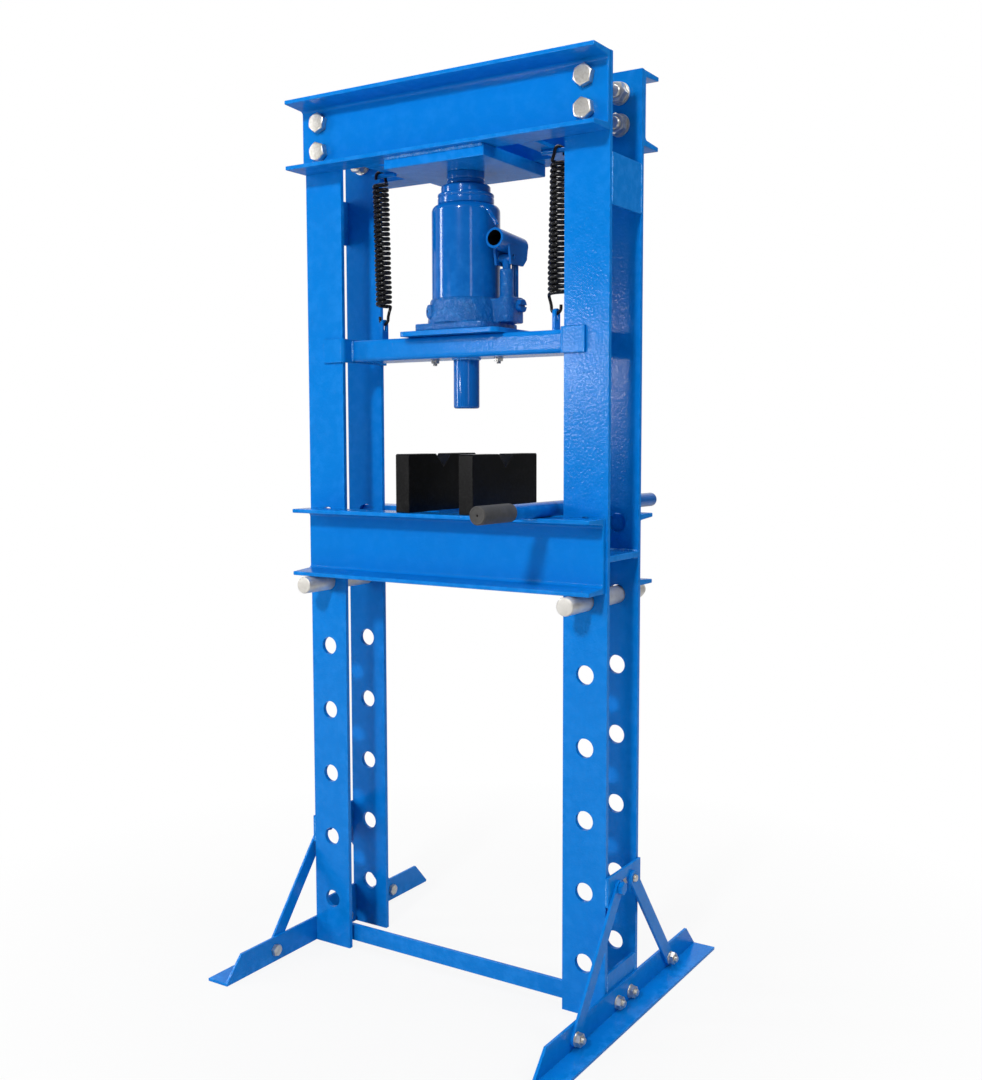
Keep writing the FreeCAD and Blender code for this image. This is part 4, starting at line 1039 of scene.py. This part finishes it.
# ======== bed
def bed_pieces():
    """Channels, ties and press blocks from their solids; beads where ties meet channels."""
    softened("bed_channel_front", frame_enamel, 1.5)
    softened("bed_channel_rear", frame_enamel, 1.5)
    softened("bed_ties", frame_enamel, 0.9)
    softened_pair("v_block", block_skin, 1.3, 3)

    def beads(work):
        seed = 0.0
        for _, side in SIDES:
            for face in (195.0, 203.0):
                for back in (-1, 1):
                    seed += 1.7
                    low = Vector((side * face, back * 60.0, 729.0))
                    weld_bead(work, low, low + Z_AXIS * 66.0, 2.2, seed)

    dress("bed_weld_beads", beads, weld_enamel, "bed", angle=BEAD_ANGLE)


def bed_pins():
    """Round bars with a rounded front end and a tapered rear one."""
    corners = [(ON_AXIS, 0.0), (13.8, 0.0), (15.0, 1.2), (15.0, 258.0), (11.0, 272.0),
               (ON_AXIS, 272.0)]
    for name, side in SIDES:
        start = Vector((side * upright_x, -129.0, bed_pin_z))

        def bar(work):
            lathe(work, softened_profile(corners, 0.8), placing(start, Y_AXIS), 64)

        dress("bed_bar_" + name, bar, pin_skin, "pin_" + name, ("bed_pin_" + name,))


def loose_handle():
    """Handle rod and its moulded grip, lying across the bed."""
    height = bed_top_z + handle_radius
    front = Vector((195.0, -268.0, height))
    back = Vector((215.0, 296.0, height))
    along = (back - front).normalized()
    length = (back - front).length

    def rod(work):
        rounding = 4
        shoulder, end = length - grip_length - rounding, length - grip_length
        profile = [(ON_AXIS, 0.0), (handle_radius, 0.0)]
        for step in range(7):
            angle = math.pi / 2 * step / 6
            profile.append((handle_radius - rounding * (1 - math.cos(angle)),
                            shoulder + rounding * math.sin(angle)))
        profile.append((ON_AXIS, end))
        lathe(work, profile, placing(front + along * grip_length, along), 56)

    dress("handle_bar", rod, jack_enamel, "bed", ("handle_rod",))

    def grip(work):
        """Moulded sleeve with a pierced, slightly dished end and a line at its mouth."""
        profile = [(ON_AXIS, 5.0), (1.6, 5.0), (1.6, 1.0), (3.4, 0.7), (11.0, 0.7), (12.3, 0.0),
                   (13.2, 0.0), (14.5, 1.5), (14.5, 84.0), (14.1, 84.6), (14.1, 85.4),
                   (14.5, 86.0), (14.5, 87.2), (13.6, grip_length), (12.6, grip_length)]
        lathe(work, softened_profile(profile, 0.45), placing(front, along), 72)

    dress("handle_sleeve", grip, grip_skin, "bed", ("handle_grip",), 40)


frame_plates()
ram_socket_piece()
beam_fasteners()
foot_fasteners()
frame_welds()
crosshead_pieces()
jack_casting()
filler_plug()
jack_cylinder()
reservoir_tab()
jack_moving_pieces()
return_springs()
bed_pieces()
bed_pins()
loose_handle()


# ======== studio
def mix_shaders(tree, share, first, second):
    mix = tree.nodes.new("ShaderNodeMixShader")
    tree.links.new(share, mix.inputs[0])
    tree.links.new(first.outputs[0], mix.inputs[1])
    tree.links.new(second.outputs[0], mix.inputs[2])
    return mix


def studio_floor():
    """Pale floor; the camera sees it almost white by the press and white further out."""
    finish, tree, shader = new_finish("pale_floor")
    set_values(shader, Base_Color=(0.62, 0.62, 0.615, 1), Roughness=0.8, Specular_IOR_Level=0.1)
    white = tree.nodes.new("ShaderNodeEmission")
    set_values(white, Color=(1, 1, 1, 1))
    rays = tree.nodes.new("ShaderNodeLightPath")
    reach = tree.nodes.new("ShaderNodeVectorMath")
    reach.operation = "LENGTH"
    tree.links.new(surface_place(tree), reach.inputs[0])
    whiter = range_node(tree, reach.outputs["Value"], 0.5, 1.2, 0.88, 1.0)
    share = product(tree, rays.outputs["Is Camera Ray"], whiter)
    mixed = mix_shaders(tree, share, shader, white)
    tree.links.new(mixed.outputs[0], tree.nodes["Material Output"].inputs["Surface"])
    half_width, level = 9e3, -0.3

    def sheet(work):
        corners = ((-1, -1), (1, -1), (1, 1), (-1, 1))
        work.faces.new([work.verts.new((x * half_width, y * half_width, level))
                        for x, y in corners])

    floor = add_piece("studio_floor", mesh_from("studio_floor", sheet), finish)


def studio_world():
    """White to the camera, softly graded in reflections, moderate as a light."""
    world = bpy.data.worlds.new("studio")
    bpy.context.scene.world = world
    world.use_nodes = True
    tree = world.node_tree
    tree.nodes.clear()
    leave = tree.nodes.new("ShaderNodeOutputWorld")
    rays = tree.nodes.new("ShaderNodeLightPath")
    place = tree.nodes.new("ShaderNodeTexCoord").outputs["Generated"]
    split = tree.nodes.new("ShaderNodeSeparateXYZ")
    tree.links.new(place, split.inputs[0])
    behind = math_node(tree, "SUBTRACT", split.outputs["Y"], split.outputs["X"])
    backdrop = range_node(tree, behind, 0.55, 1.15, 0.0, 0.85)
    above = range_node(tree, split.outputs["Z"], 0.35, 0.95, 0.10, 0.50)
    glossy = math_node(tree, "ADD", backdrop, above)
    ambient = tree.nodes.new("ShaderNodeBackground")
    set_values(ambient, Strength=0.24, Color=(0.95, 0.97, 1.0, 1))
    mirrored = tree.nodes.new("ShaderNodeBackground")
    tree.links.new(glossy, mirrored.inputs["Strength"])
    seen = tree.nodes.new("ShaderNodeBackground")
    set_values(seen, Color=(1, 1, 1, 1))
    lighting = mix_shaders(tree, rays.outputs["Is Glossy Ray"], ambient, mirrored)
    whole = mix_shaders(tree, rays.outputs["Is Camera Ray"], lighting, seen)
    tree.links.new(whole.outputs[0], leave.inputs["Surface"])


def softbox(name, position, target, size, power):
    """A rectangular lamp; places and sizes in metres, power in watts."""
    lamp = bpy.data.lights.new(name, "AREA")
    lamp.shape = "RECTANGLE"
    lamp.size, lamp.size_y = size
    lamp.energy = power
    thing = bpy.data.objects.new(name, lamp)
    bpy.context.scene.collection.objects.link(thing)
    thing.location = position
    thing.rotation_euler = (Vector(target) - Vector(position)).to_track_quat("-Z", "Y").to_euler()


def camera():
    """The photograph's viewpoint, fitted to the frame's corners; metres and radians."""
    yaw, pitch, roll = 0.566, -0.085, -0.002
    focal_length, photo_height = 1218.9, 1080       # photo pixels
    stand = Vector((1.1781, -1.7763, 0.9522))
    ahead = Vector((-math.sin(yaw) * math.cos(pitch), math.cos(yaw) * math.cos(pitch),
                    math.sin(pitch)))
    right = Vector((math.cos(yaw), math.sin(yaw), 0))
    up = right.cross(ahead)
    level = right * math.cos(roll) + up * math.sin(roll)
    upright = up * math.cos(roll) - right * math.sin(roll)
    lens = bpy.data.cameras.new("photo_camera")
    lens.sensor_fit = "AUTO"
    lens.sensor_width = 36.0
    lens.lens = focal_length / photo_height * lens.sensor_width
    lens.clip_end = 60.0
    thing = bpy.data.objects.new("photo_camera", lens)
    bpy.context.scene.collection.objects.link(thing)
    turn = Matrix((level, upright, ahead * -1)).transposed().to_4x4()
    thing.matrix_world = Matrix.Translation(stand) @ turn
    bpy.context.scene.camera = thing


studio_floor()
studio_world()
softbox("key_softbox", (0.6, -3.8, 2.95), (0, 0, 0.95), (0.36, 0.36), 101.0)
softbox("left_strip", (-3.4, -2.1, 1.9), (0, 0, 1.1), (0.55, 2.4), 58.0)
softbox("right_strip", (2.8, -2.4, 1.6), (0, 0, 1.1), (0.35, 1.8), 5.0)
softbox("right_high", (3.5, 0.5, 3.5), (0.2, 0, 0.9), (1.4, 1.4), 62.0)
softbox("glint_box", (-1.55, -3.1, 1.25), (0.2, 0, 1.1), (0.4, 0.2), 14.0)
softbox("top_softbox", (-0.3, 0.6, 4.4), (0, 0, 1.0), (2.4, 2.4), 92.0)
camera()
bpy.context.scene.view_settings.view_transform = "Standard"
